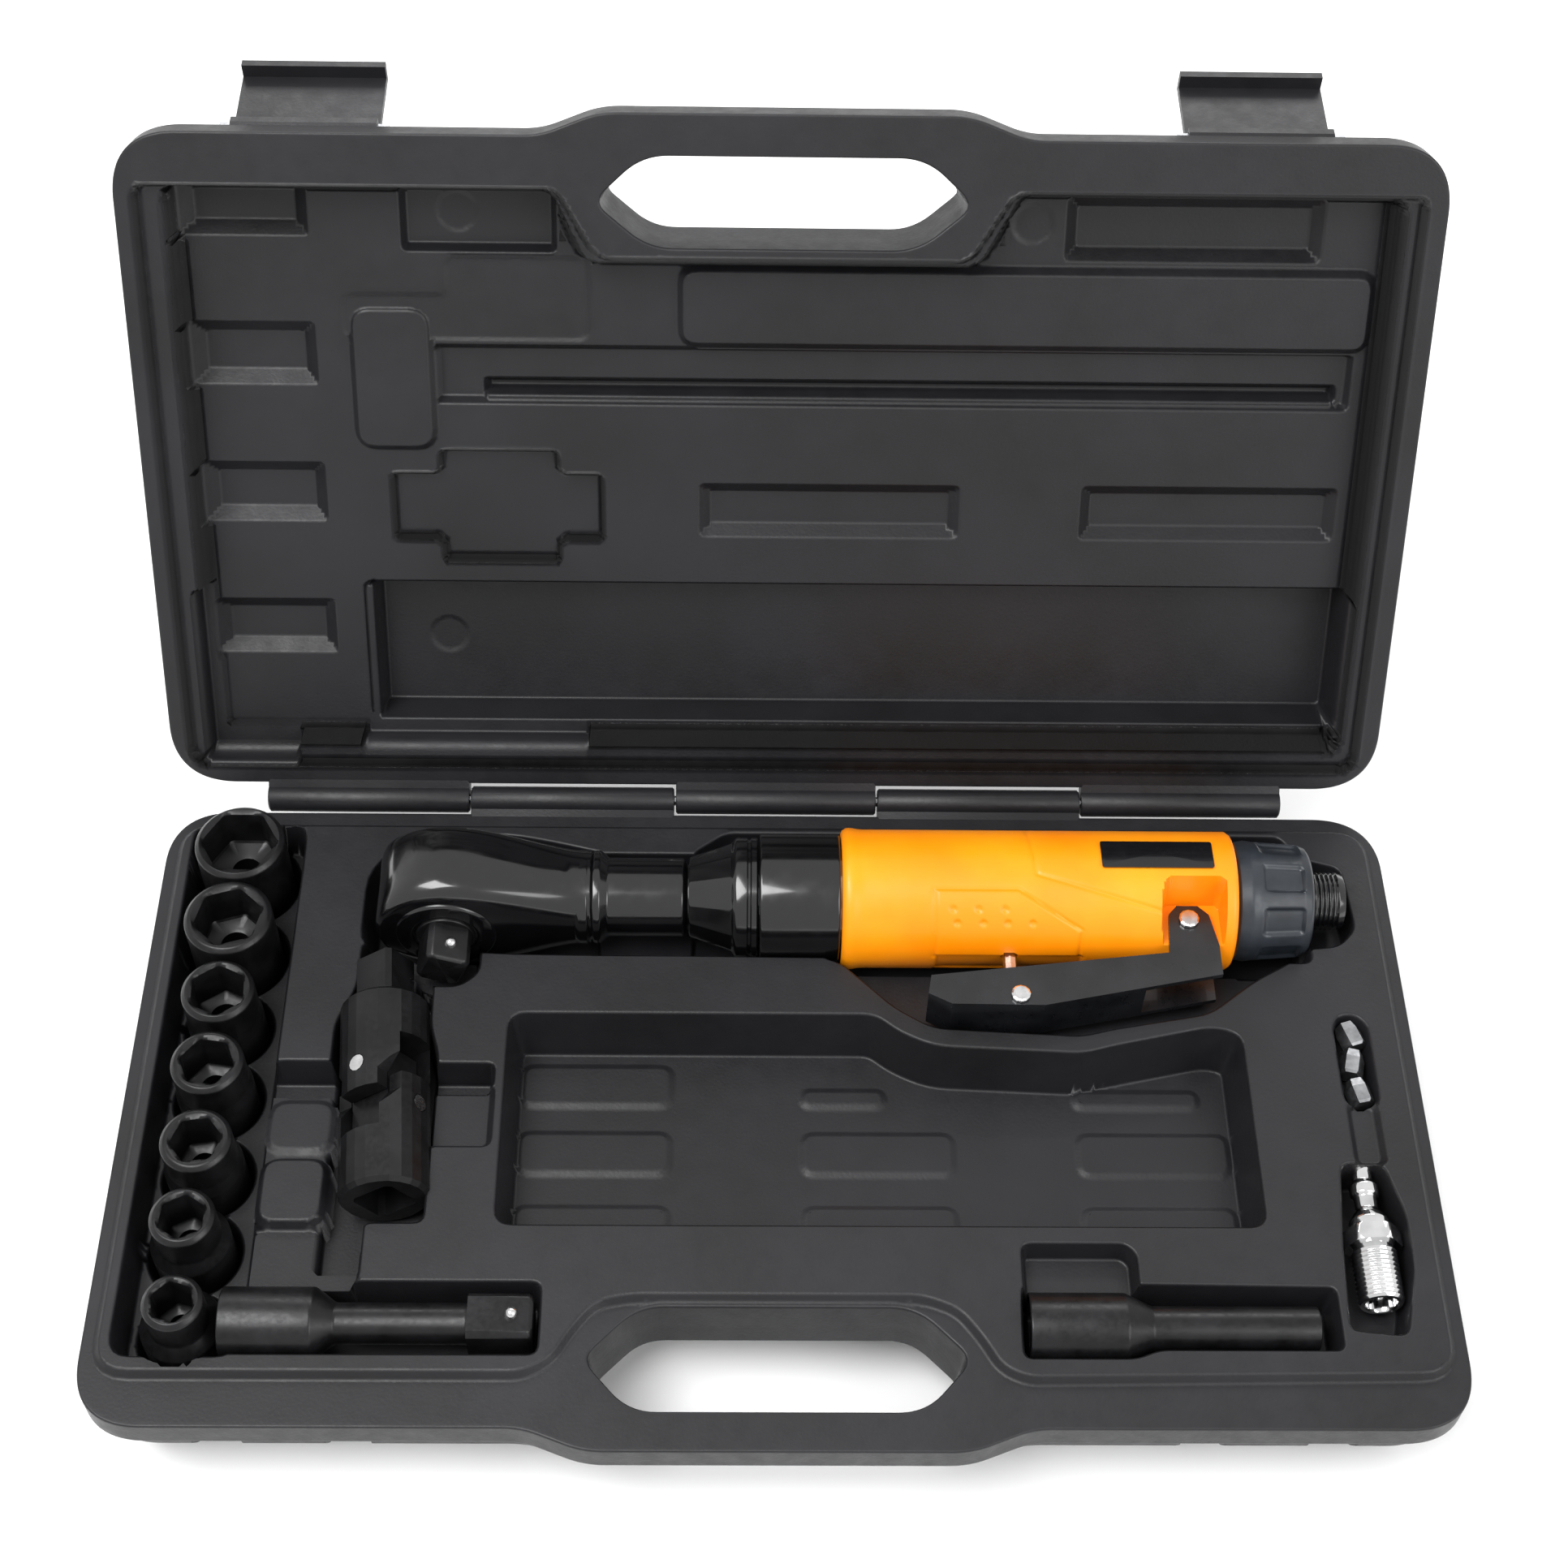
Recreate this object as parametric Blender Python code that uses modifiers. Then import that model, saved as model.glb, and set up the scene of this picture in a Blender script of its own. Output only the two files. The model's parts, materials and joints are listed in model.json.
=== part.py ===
"""Socket wrench set in its moulded carrying case.

A double-walled case half holds an air ratchet, seven sockets, a universal joint, an extension bar, a bit
adaptor, an air plug and three bits. The lid turns on a hinge pin along the back and closes with two latches.

Lengths are in millimetres until MM turns them into metres. The case frame has its origin at the middle of
the front edge of the base, on the plane where base and lid meet; y runs back to the hinge and z runs up.
"""

import math

import bmesh
import bpy
from mathutils import Matrix, Vector

MM = 0.001

# Overall sizes. Plan positions scale with the case, and the tools with the smallest of the three.
CASE_WIDTH = 360.0
CASE_DEPTH = 193.2
BASE_HEIGHT = 38.0
LID_HEIGHT = 34.0

# Case walls
WALL = 2.5
SIDE_WALL = 3.6
LID_SIDE_WALL = 5.0
FLANGE_HEIGHT = 10.0
CORNER_RADIUS = 17.0
PANEL_RISE = 3.0
RIM_GAP = 0.3
HANDLE_BULGE = 6.2
HANDLE_THICK = 17.0
HANDLE_HALF = 62.0
TOOL_GAP = 0.5

# Pocket floors, from the plane where the halves meet
WRENCH_FLOOR = -16.0
TRAY_FLOOR = -15.5
UJOINT_FLOOR = -12.0
BAR_FLOOR = -11.2
PLUG_FLOOR = -10.6
BITS_FLOOR = -5.0

# Hinge and latches
LID_OPEN_DEG = 116.2
LATCH_OPEN_DEG = 152.0
HINGE_SETBACK = 5.2
KNUCKLE_RADIUS = 4.0
HINGE_PIN_RADIUS = 1.5
LATCH_WIDTH = 39.5
LATCH_AT = 129.5
LATCH_THICK = 2.2
LATCH_PIN_RADIUS = 1.2

# Tools
DRIVE_SQUARE = 12.7
SQUARE_GAP = 0.2
SQUARE_RELIEF = 8.2
SOCKET_HEIGHT = 38.0
SOCKET_STANDS = 12.0
NUT_SIZES = (19.0, 17.0, 14.0, 13.0, 12.0, 11.0, 10.0)
NUT_END_DIAMETERS = (25.9, 25.1, 20.5, 20.1, 19.5, 17.5, 16.0)
DRIVE_END_DIAMETER = 21.5
SOCKET_ROW = ((-156.4, 174.0), (-156.4, 147.8), (-156.1, 123.1), (-156.0, 100.1), (-155.8, 76.0),
              (-156.3, 53.2), (-155.5, 29.0))
BLOCK_HALF = 6.2
BLOCK_LENGTH = 24.0
PIN_OFFSET = 6.0
GRIP_RADIUS = 20.1
HEAD_RADIUS = 20.5
HEAD_X = -94.9
LEVER_PIVOT_X = 118.0
LEVER_PIVOT_Y = 148.0
AIRWAY_RADIUS = 4.4

WELD = 0.0001
SHARP_ANGLE = math.radians(30.0)

# Sides of the round pieces, by size
FACETS_LARGE = 32
FACETS_MEDIUM = 18
FACETS_SMALL = 12
FACETS_TINY = 8

SX = CASE_WIDTH / 360.0
SY = CASE_DEPTH / 193.2
SZ = min(BASE_HEIGHT / 38.0, LID_HEIGHT / 34.0)
ST = min(SX, SY, SZ)

HINGE = Vector((0.0, CASE_DEPTH + HINGE_SETBACK, 0.0))
LATCH_PIVOT = Vector((0.0, 1.6, FLANGE_HEIGHT + 3.2))
WRENCH_Y = 160.0 * SY
WRENCH_Z = WRENCH_FLOOR * SZ + TOOL_GAP + GRIP_RADIUS * ST
WELL_FLOOR = SOCKET_STANDS - SOCKET_HEIGHT


def plan(points):
    """Plan points of the case scaled with its width and depth."""
    return [(x * SX, y * SY) for x, y in points]


def box_plan(x0, x1, y0, y1):
    return plan([(x0, y0), (x1, y0), (x1, y1), (x0, y1)])


def circle(radius, steps, cx=0.0, cy=0.0, turn=0.0):
    angles = [math.tau * i / steps + turn for i in range(steps)]
    return [(cx + radius * math.cos(a), cy + radius * math.sin(a)) for a in angles]


def rounded(points, radius, steps=3):
    """The outline with each corner replaced by a curve that starts and ends radius away from it."""
    out = []
    for i, corner in enumerate(points):
        here = Vector(corner)
        before = Vector(points[i - 1]) - here
        after = Vector(points[(i + 1) % len(points)]) - here
        reach = min(radius, 0.45 * before.length, 0.45 * after.length)
        start = here + before.normalized() * reach
        end = here + after.normalized() * reach
        for k in range(steps + 1):
            t = k / steps
            out.append(tuple(start * (1 - t) ** 2 + here * 2 * t * (1 - t) + end * t * t))
    return out


def grown(points, amount):
    """The counter-clockwise outline moved outwards by amount."""
    out = []
    for i, corner in enumerate(points):
        here = Vector(corner)
        before = (here - Vector(points[i - 1])).normalized()
        after = (Vector(points[(i + 1) % len(points)]) - here).normalized()
        side = Vector((before.y, -before.x)) + Vector((after.y, -after.x))
        out.append(tuple(here + side * (2 * amount / max(side.length_squared, 0.5))))
    return out


def loft(rings):
    """A closed solid through rings of equal length, each an (outline, height) pair."""
    bm = bmesh.new()
    layers = [[bm.verts.new((x, y, z)) for x, y in outline] for outline, z in rings]
    for low, high in zip(layers, layers[1:]):
        for i in range(len(low)):
            bm.faces.new((low[i - 1], low[i], high[i], high[i - 1]))
    bm.faces.new(layers[0][::-1])
    bm.faces.new(layers[-1])
    bmesh.ops.recalc_face_normals(bm, faces=bm.faces)
    return bm


def plate(outline, z0, z1):
    """A prism: the outline as a filled curve, extruded half the thickness each way, and made a mesh."""
    curve = bpy.data.curves.new("outline", "CURVE")
    curve.dimensions = "2D"
    curve.fill_mode = "BOTH"
    curve.extrude = (z1 - z0) / 2
    spline = curve.splines.new("POLY")
    spline.points.add(len(outline) - 1)
    spline.use_cyclic_u = True
    for point, (x, y) in zip(spline.points, outline):
        point.co = (x, y, 0.0, 1.0)
    holder = bpy.data.objects.new("outline", curve)
    CUTTERS.objects.link(holder)
    graph = bpy.context.evaluated_depsgraph_get()
    mesh = bpy.data.meshes.new_from_object(holder.evaluated_get(graph))
    bm = bmesh.new()
    bm.from_mesh(mesh)
    bmesh.ops.remove_doubles(bm, verts=bm.verts, dist=WELD)
    bm.transform(Matrix.Translation((0.0, 0.0, (z0 + z1) / 2)))
    bpy.data.meshes.remove(mesh)
    bpy.data.objects.remove(holder)
    bpy.data.curves.remove(curve)
    return bm


def block(x0, x1, y0, y1, z0, z1):
    bm = bmesh.new()
    bmesh.ops.create_cube(bm, size=1.0)
    sides = Matrix.Diagonal((x1 - x0, y1 - y0, z1 - z0, 1.0))
    bm.transform(Matrix.Translation(((x0 + x1) / 2, (y0 + y1) / 2, (z0 + z1) / 2)) @ sides)
    return bm


def rod(radius, steps, z0, z1, x=0.0, y=0.0, turn=0.0):
    """A cylinder along z, with its first corner towards +X before its turn."""
    bm = bmesh.new()
    place = Matrix.Translation((x, y, (z0 + z1) / 2)) @ Matrix.Rotation(turn - math.pi / 2, 4, "Z")
    bmesh.ops.create_cone(bm, cap_ends=True, segments=steps, radius1=radius, radius2=radius, depth=z1 - z0,
                          matrix=place)
    return bm


def hex_rod(across_flats, z0, z1, turn=0.0):
    return rod(across_flats / math.sqrt(3.0), 6, z0, z1, turn=turn)


def ball(radius):
    bm = bmesh.new()
    bmesh.ops.create_uvsphere(bm, u_segments=FACETS_TINY, v_segments=FACETS_TINY - 2, radius=radius)
    return bm


UPRIGHT = Matrix.Identity(4)
ALONG_X = Matrix(((0, 0, 1, 0), (1, 0, 0, 0), (0, 1, 0, 0), (0, 0, 0, 1)))
ALONG_Y = Matrix(((0, 1, 0, 0), (0, 0, 1, 0), (1, 0, 0, 0), (0, 0, 0, 1)))


def at(x, y, z, turn=UPRIGHT):
    return Matrix.Translation((x, y, z)) @ turn


def turn_about(axis, degrees):
    return Matrix.Rotation(math.radians(degrees), 4, axis)


def clear_scene():
    for old in list(bpy.data.objects):
        bpy.data.objects.remove(old)


def collection(name):
    made = bpy.data.collections.new(name)
    bpy.context.scene.collection.children.link(made)
    return made


def hang(made, empty, place):
    made.parent = empty
    made.location = place.translation * MM
    made.rotation_euler = place.to_euler()


class Frame:
    """An empty that pieces hang from. Home is the step to it from the coordinates they are drawn in."""

    def __init__(self, name, parent, place, home=UPRIGHT):
        self.empty = bpy.data.objects.new(name, None)
        self.home = home
        PARTS.objects.link(self.empty)
        if parent:
            parent.hold(self.empty, place)
        else:
            hang(self.empty, None, place)

    def hold(self, made, place):
        hang(made, self.empty, self.home @ place)


def axis_frame(name, parent, point, turn=UPRIGHT):
    """A frame on a joint's axis, for pieces drawn in the parent's coordinates, before the turn."""
    return Frame(name, parent, at(*point, turn), at(*point).inverted())


clear_scene()
PARTS = collection("socket_wrench_set")
CUTTERS = collection("cutters")
CASE = Frame("case", None, at(0.0, -CASE_DEPTH / 2, BASE_HEIGHT))
LID = axis_frame("lid_axis", CASE, HINGE, turn_about("X", -LID_OPEN_DEG))
HEAD = axis_frame("drive_axis", CASE, (HEAD_X * SX, WRENCH_Y, WRENCH_Z))
LEVER = axis_frame("lever_axis", CASE, (LEVER_PIVOT_X * SX, LEVER_PIVOT_Y * SY, WRENCH_Z))
STEPS = []


def finish(name, finish_of):
    """A plain material: colour, metal share and roughness."""
    colour, metal, rough = finish_of
    made = bpy.data.materials.new(name)
    made.use_nodes = True
    shader = made.node_tree.nodes["Principled BSDF"]
    shader.inputs["Base Color"].default_value = (*colour, 1.0)
    shader.inputs["Metallic"].default_value = metal
    shader.inputs["Roughness"].default_value = rough
    return made


CASE_PLASTIC = ((0.030, 0.030, 0.034), 0.0, 0.45)
BLACK_OXIDE = ((0.012, 0.012, 0.013), 0.6, 0.35)
GLOSS_BLACK = ((0.008, 0.008, 0.009), 0.2, 0.18)
ORANGE = ((0.95, 0.28, 0.005), 0.0, 0.38)
DARK_SATIN = ((0.030, 0.034, 0.040), 0.1, 0.40)
BRIGHT_STEEL = ((0.75, 0.75, 0.76), 1.0, 0.22)
GREY_STEEL = ((0.35, 0.35, 0.36), 1.0, 0.38)
CHROME = ((0.85, 0.85, 0.85), 1.0, 0.10)
LABEL_BLACK = ((0.010, 0.010, 0.010), 0.0, 0.30)


def shape(name, bm, place=UPRIGHT, look=None, frame=CASE):
    """An object from a bmesh in millimetres: a node if it has a look, a hidden cutter if it has none."""
    mesh = bpy.data.meshes.new(name)
    bm.transform(Matrix.Scale(MM, 4))
    bm.to_mesh(mesh)
    bm.free()
    mesh.shade_smooth()
    mesh.set_sharp_from_angle(angle=SHARP_ANGLE)
    return stand(name, mesh, place, look, frame)


def stand(name, mesh, place, look, frame):
    made = bpy.data.objects.new(name, mesh)
    frame.hold(made, place)
    if look:
        PARTS.objects.link(made)
        mesh.materials.append(finish(name, look))
    else:
        CUTTERS.objects.link(made)
        made.hide_render = True
        made.display_type = "WIRE"
    return made


def turned(name, profile, place, steps, look=None, frame=CASE, closed=False):
    """A solid of revolution from (radius, height) points. A closed profile makes a ring."""
    mesh = bpy.data.meshes.new(name)
    edges = [(i, i + 1) for i in range(len(profile) - 1)]
    if closed:
        edges.append((len(profile) - 1, 0))
    mesh.from_pydata([(r * MM, 0.0, h * MM) for r, h in profile], edges, [])
    made = stand(name, mesh, place, look, frame)
    screw = made.modifiers.new("Turn", "SCREW")
    screw.steps = screw.render_steps = steps
    screw.use_merge_vertices = True
    screw.merge_threshold = 0.00001
    screw.use_normal_flip = turns_inwards(profile)
    return made


def turns_inwards(profile):
    """Whether the profile runs anticlockwise in (radius, height), which faces its surface inwards."""
    pairs = zip(profile, profile[1:] + profile[:1])
    return sum(r0 * h1 - r1 * h0 for (r0, h0), (r1, h1) in pairs) > 0


def cut(target, tool, how="DIFFERENCE"):
    """Notes a Boolean step. They are all attached at the end, in this order."""
    STEPS.append((target, tool, how))


def cut_all(target, tools):
    for tool in tools:
        cut(target, tool)


def attach_steps():
    for target, tool, how in STEPS:
        step = target.modifiers.new(tool.name, "BOOLEAN")
        step.operation = how
        step.solver = "EXACT"
        step.object = tool


# ---------------------------------------------------------------- case halves


def case_outline(inset, bulge=True):
    """The rim outline drawn in by inset, with the handle's bulge on the front edge."""
    half = CASE_WIDTH / 2 - inset
    back = CASE_DEPTH - inset
    corner = CORNER_RADIUS
    front = []
    if bulge:
        front = [(-65.0 * SX, inset), (-49.0 * SX, inset - HANDLE_BULGE), (49.0 * SX, inset - HANDLE_BULGE),
                 (65.0 * SX, inset)]
    corners = [(-half, inset), (half, inset), (half, back), (-half, back)]
    soft = rounded(corners, corner, 4)
    return soft[:5] + front + soft[5:]


def body_rings(height, sign, grow=0.0):
    """Sections of a case half from the rim outwards: straight flange, shallow draft, soft bottom edge."""
    deep = height - FLANGE_HEIGHT
    steps = [(0.0, 0.0), (0.0, FLANGE_HEIGHT), (4.0, FLANGE_HEIGHT + 0.4), (5.5, FLANGE_HEIGHT + 0.5 * deep),
             (8.5, FLANGE_HEIGHT + 0.8 * deep), (13.0, height)]
    return [(case_outline(inset + grow), sign * z) for inset, z in steps]


def air_rings(height, sign, side_wall):
    """Sections of the air space between the two skins of a case half."""
    deep = height - FLANGE_HEIGHT
    steps = [(4.0, WALL), (4.0, FLANGE_HEIGHT), (5.5, FLANGE_HEIGHT + 0.5 * deep), (12.0, height - WALL)]
    return [(case_outline(inset + side_wall, False), sign * z) for inset, z in steps]


def handle_hole(half_width, front, back):
    return rounded(plan([(-half_width, (front + back) / 2), (-38.0, front), (38.0, front),
                         (half_width, (front + back) / 2), (36.0, back), (-36.0, back)]), 7.0, 2)


def base_pockets():
    """Every pocket of the base as a cutter."""
    top = PANEL_RISE + 4.0
    lever_front = [(18, 141), (34, 125.0), (43, 119.0), (86.3, 117.0), (92.3, 119.0), (122.6, 125.0),
                   (137, 136.0), (150, 142), (150, 150), (18, 150)]
    tray = [(-75.5, 56), (131.5, 56), (131.5, 116), (122, 117.0), (92, 112.0), (86, 110.0), (44, 112),
            (35, 117), (30, 121.5), (-75.5, 121.5)]
    ujoint = [(-124, 44), (-111, 44), (-111, 57), (-92, 57), (-92, 131), (-102.5, 131), (-102.5, 146),
              (-123.5, 146), (-123.5, 131), (-124, 131)]
    plug = [(148.5, 27), (164, 25), (169.2, 45), (169.2, 60), (166, 76), (152.5, 76), (150, 52)]
    plans = [
        ("trench", box_plan(-170.4, -139.2, 17.5, 187), -10.0, 4.0),
        ("channel", box_plan(-142, -78, 97, 105), -8.0, 0.0),
        ("ledge", box_plan(-142, -110, 77.0, 98), -4.0, 0.0),
        ("pedestal", box_plan(-142, -110, 57.5, 78), -1.0, 0.0),
        ("corner", box_plan(-142, -110.5, 38, 58.5), -5.0, 0.0),
        ("shelf", box_plan(-96, -78, 79, 98), -1.0, 0.0),
        ("ujoint", plan(ujoint), UJOINT_FLOOR, 0.0),
        ("drive", box_plan(-107, -84.5, 130.5, 146), -6.0, 0.0),
        ("head", box_plan(-119.5, -50.5, 143.5, 183), WRENCH_FLOOR, 3.0),
        ("neck", box_plan(-51, -24.5, 143.5, 177), -13.0, 0.0),
        ("body", box_plan(-25, 154.5, 138.6, 184.5), WRENCH_FLOOR, 2.0),
        ("inlet", box_plan(154, 168, 147.5, 175), -8.0, 0.0),
        ("lever", plan(lever_front), -8.0, 0.0),
        ("tray", plan(tray), TRAY_FLOOR, 3.0),
        ("bar", box_plan(-146, -62, 18.6, 39.4), BAR_FLOOR, 0.0),
        ("adaptor", plan([(63.5, 18.2), (93, 18.2), (99, 20.5), (147, 20.5), (147, 38.5), (64, 38.5)]),
         BAR_FLOOR, 0.0),
        ("thumb", box_plan(64.5, 95.5, 37, 50.5), -5.0, 0.0),
        ("plug", plan(plug), PLUG_FLOOR, 2.0),
        ("bits", box_plan(156.8, 167.5, 93.5, 122.8), BITS_FLOOR, 0.0),
        ("slot", box_plan(156.8, 167.5, 74, 95), -1.0, 0.0),
    ]
    made = []
    for name, outline, floor, radius in plans:
        soft = rounded(outline, radius, 2) if radius else outline
        made.append(shape("pocket_" + name, plate(soft, floor * SZ, top)))
    for i, (x, y) in enumerate(SOCKET_ROW):
        wide = max(NUT_END_DIAMETERS[i], DRIVE_END_DIAMETER) / 2 * ST + TOOL_GAP
        well = rod(wide, FACETS_MEDIUM, WELL_FLOOR * ST - TOOL_GAP, top)
        made.append(shape(f"pocket_well_{i + 1}", well, at(x * SX, y * SY, 0.0)))
    made.append(shape("pocket_handle", plate(handle_hole(50.7, 5.0, 33.0), -BASE_HEIGHT - 2.0, top)))
    return made


def base_hollows():
    """Blocks that keep the air space a wall's thickness away from groups of pockets."""
    groups = [("sockets", box_plan(-170.4, -139.2, 17.5, 187), WELL_FLOOR * ST - TOOL_GAP),
              ("ujoint", box_plan(-142, -78, 38, 146), UJOINT_FLOOR * SZ),
              ("wrench", box_plan(-119.5, 168, 138.6, 184.5), WRENCH_FLOOR * SZ),
              ("tray", box_plan(-75.5, 150, 56, 141), TRAY_FLOOR * SZ),
              ("bar", box_plan(-146, -62, 18.6, 39.4), BAR_FLOOR * SZ),
              ("adaptor", box_plan(63.5, 147, 18.2, 50.5), BAR_FLOOR * SZ),
              ("plug", box_plan(145, 169.2, 25, 76), PLUG_FLOOR * SZ),
              ("bits", box_plan(156.8, 167.5, 72, 122.8), BITS_FLOOR * SZ)]
    made = []
    for name, outline, floor in groups:
        made.append(shape("hollow_" + name, plate(grown(outline, WALL), floor - WALL, PANEL_RISE + 4.0)))
    hole = grown(handle_hole(50.7, 5.0, 33.0), WALL)
    made.append(shape("hollow_handle", plate(hole, -BASE_HEIGHT - 2.0, PANEL_RISE + 4.0)))
    return made


def knuckles(target, spans, sign, frame):
    """Hinge knuckles on the back edge of a case half, bored for the pin."""
    for i, (x0, x1) in enumerate(spans):
        arm = [(CASE_DEPTH - 2.0, sign * RIM_GAP), (HINGE.y, sign * RIM_GAP),
               (HINGE.y + 0.6 * KNUCKLE_RADIUS, sign * 2.0), (HINGE.y, sign * 7.0),
               (CASE_DEPTH - 2.0, sign * 7.6)]
        arm = arm if sign > 0 else arm[::-1]
        name = f"{target.name}_knuckle_{i + 1}"
        reach = plate(arm, x0 * SX, x1 * SX)
        cut(target, shape(name + "_arm", reach, ALONG_X, frame=frame), "UNION")
        barrel = rod(KNUCKLE_RADIUS, FACETS_SMALL, x0 * SX - 0.01, x1 * SX + 0.01, HINGE.y, turn=0.07)
        cut(target, shape(name + "_barrel", barrel, ALONG_X, frame=frame), "UNION")
    bore = rod(HINGE_PIN_RADIUS + 0.3, FACETS_TINY, -170.0 * SX, 170.0 * SX, HINGE.y)
    cut(target, shape(target.name + "_pin_bore", bore, ALONG_X, frame=frame))


def case_base():
    """The lower half: flange, drafted body, raised panel with pockets, and the air space in between."""
    base = shape("case_base", loft(body_rings(BASE_HEIGHT, -1)), look=CASE_PLASTIC)
    panel = plan([(-173.4, 14.6), (-66, 14.6), (-57, 19.5), (-52.5, 28), (-46, 35.6), (46, 35.6), (52.5, 28),
                  (57, 19.5), (66, 14.6), (173.4, 14.6), (173.4, 186), (-173.4, 186)])
    cut(base, shape("base_panel", plate(panel, -1.0, PANEL_RISE)), "UNION")
    cut_all(base, base_pockets())
    step = [(-HANDLE_HALF, -12.0), (HANDLE_HALF, -12.0), (HANDLE_HALF, 44.0), (-HANDLE_HALF, 44.0)]
    cut(base, shape("base_handle_step", plate(plan(step), -BASE_HEIGHT - 1.0, -HANDLE_THICK * SZ)))
    for side in (-1, 1):
        x0, x1 = side * LATCH_AT - 24.0, side * LATCH_AT + 24.0
        low = -BASE_HEIGHT - 1.0
        top = -FLANGE_HEIGHT - 0.01
        cut(base, shape(f"hook_space_{side}", block(x0, x1, -2.0, 10.5, -15.0, top)))
        cut(base, shape(f"catch_side_a_{side}", block(x0, x0 + 13.0, -2.0, 11.5, low, -14.9)))
        cut(base, shape(f"catch_side_b_{side}", block(x1 - 11.0, x1, -2.0, 11.5, low, -14.9)))
    air = shape("base_air", loft(air_rings(BASE_HEIGHT, -1, SIDE_WALL)))
    cut_all(air, base_hollows())
    step = plate(grown(plan(step), WALL), -BASE_HEIGHT - 1.0, WALL - HANDLE_THICK * SZ)
    cut(air, shape("air_handle_step", step))
    for side in (-1, 1):
        x0, x1 = side * LATCH_AT - 24.0 - WALL, side * LATCH_AT + 24.0 + WALL
        cut(air, shape(f"air_catch_{side}", block(x0, x1, -2.0, 11.5 + WALL, -BASE_HEIGHT - 1, 1.0)))
    cut(base, air)
    vent = rod(2.0, FACETS_TINY, 0.0, 14.0)
    cut(base, shape("base_vent", vent, at(40.0 * SX, CASE_DEPTH - 12.0, -0.55 * BASE_HEIGHT, ALONG_Y)))
    knuckles(base, ((-91.4, -30.6), (30.6, 91.4)), -1, CASE)
    return base


def lid_recesses(grow):
    """Recesses of the lid's inner face, in the closed position, opening downwards."""
    tag = "lid_air_" if grow else "lid_cut_"
    back = CASE_DEPTH / SY
    rim = [(-175.6, back - 181.4), (-58.5, back - 181.4), (-47.5, back - 161.5), (47.5, back - 161.5),
           (58.5, back - 181.4), (175.6, back - 181.4), (175.6, back - 5), (-175.6, back - 5)]
    inner = [(-169, back - 177.6), (-64, back - 177.6), (-52, back - 158.0), (52, back - 158.0),
             (64, back - 177.6), (170.5, back - 177.6), (170.5, back - 8.5), (-169, back - 8.5)]

    def span(x0, x1, l0, l1):
        return box_plan(x0, x1, back - l1, back - l0)

    plans = [("rim", plan(rim), 4.0, 0.0), ("panel", plan(inner), 17.0, 0.0),
             ("sockets", span(-170, -142.5, 5.75, 32), 14.0, 0.0),
             ("wrench", span(-123, 169, 13.5, 58.5), 29.5, 0.0),
             ("well", span(-105.4, -63, 157, 174.7), 21.0, 0.0),
             ("slot_1", span(-23, 52.3, 73, 89.4), 22.0, 0.0),
             ("slot_2", span(88, 163, 73.5, 89.6), 22.0, 0.0), ("slot_3", span(79, 150, 156, 174), 22.0, 0.0),
             ("bar", span(-98, 163, 113, 129), 20.5, 0.0), ("cross_1", span(-113, -51, 71, 92), 20.5, 0.0),
             ("cross_2", span(-98.5, -63.5, 64.6, 99.2), 20.5, 0.0)]
    plans += [(f"wedge_{i}", span(-166.5, -131.5, l0, l1), 22.0, 0.0)
              for i, (l0, l1) in enumerate(((161.2, 176.6), (118.4, 136.6), (77, 95), (35.2, 52.3)))]
    made = []
    for name, outline, deep, radius in plans:
        soft = rounded(outline, radius) if radius else outline
        wide = grown(soft, grow) if grow else soft
        cutter = plate(wide, -2.0, deep * SZ + grow)
        made.append(shape(tag + name, cutter, frame=LID))
    hole = handle_hole(51.5, CASE_DEPTH / SY - 188, CASE_DEPTH / SY - 163)
    made.append(shape(tag + "handle", plate(grown(hole, grow) if grow else hole, -2.0, LID_HEIGHT + 2.0),
                      frame=LID))
    return made


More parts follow.
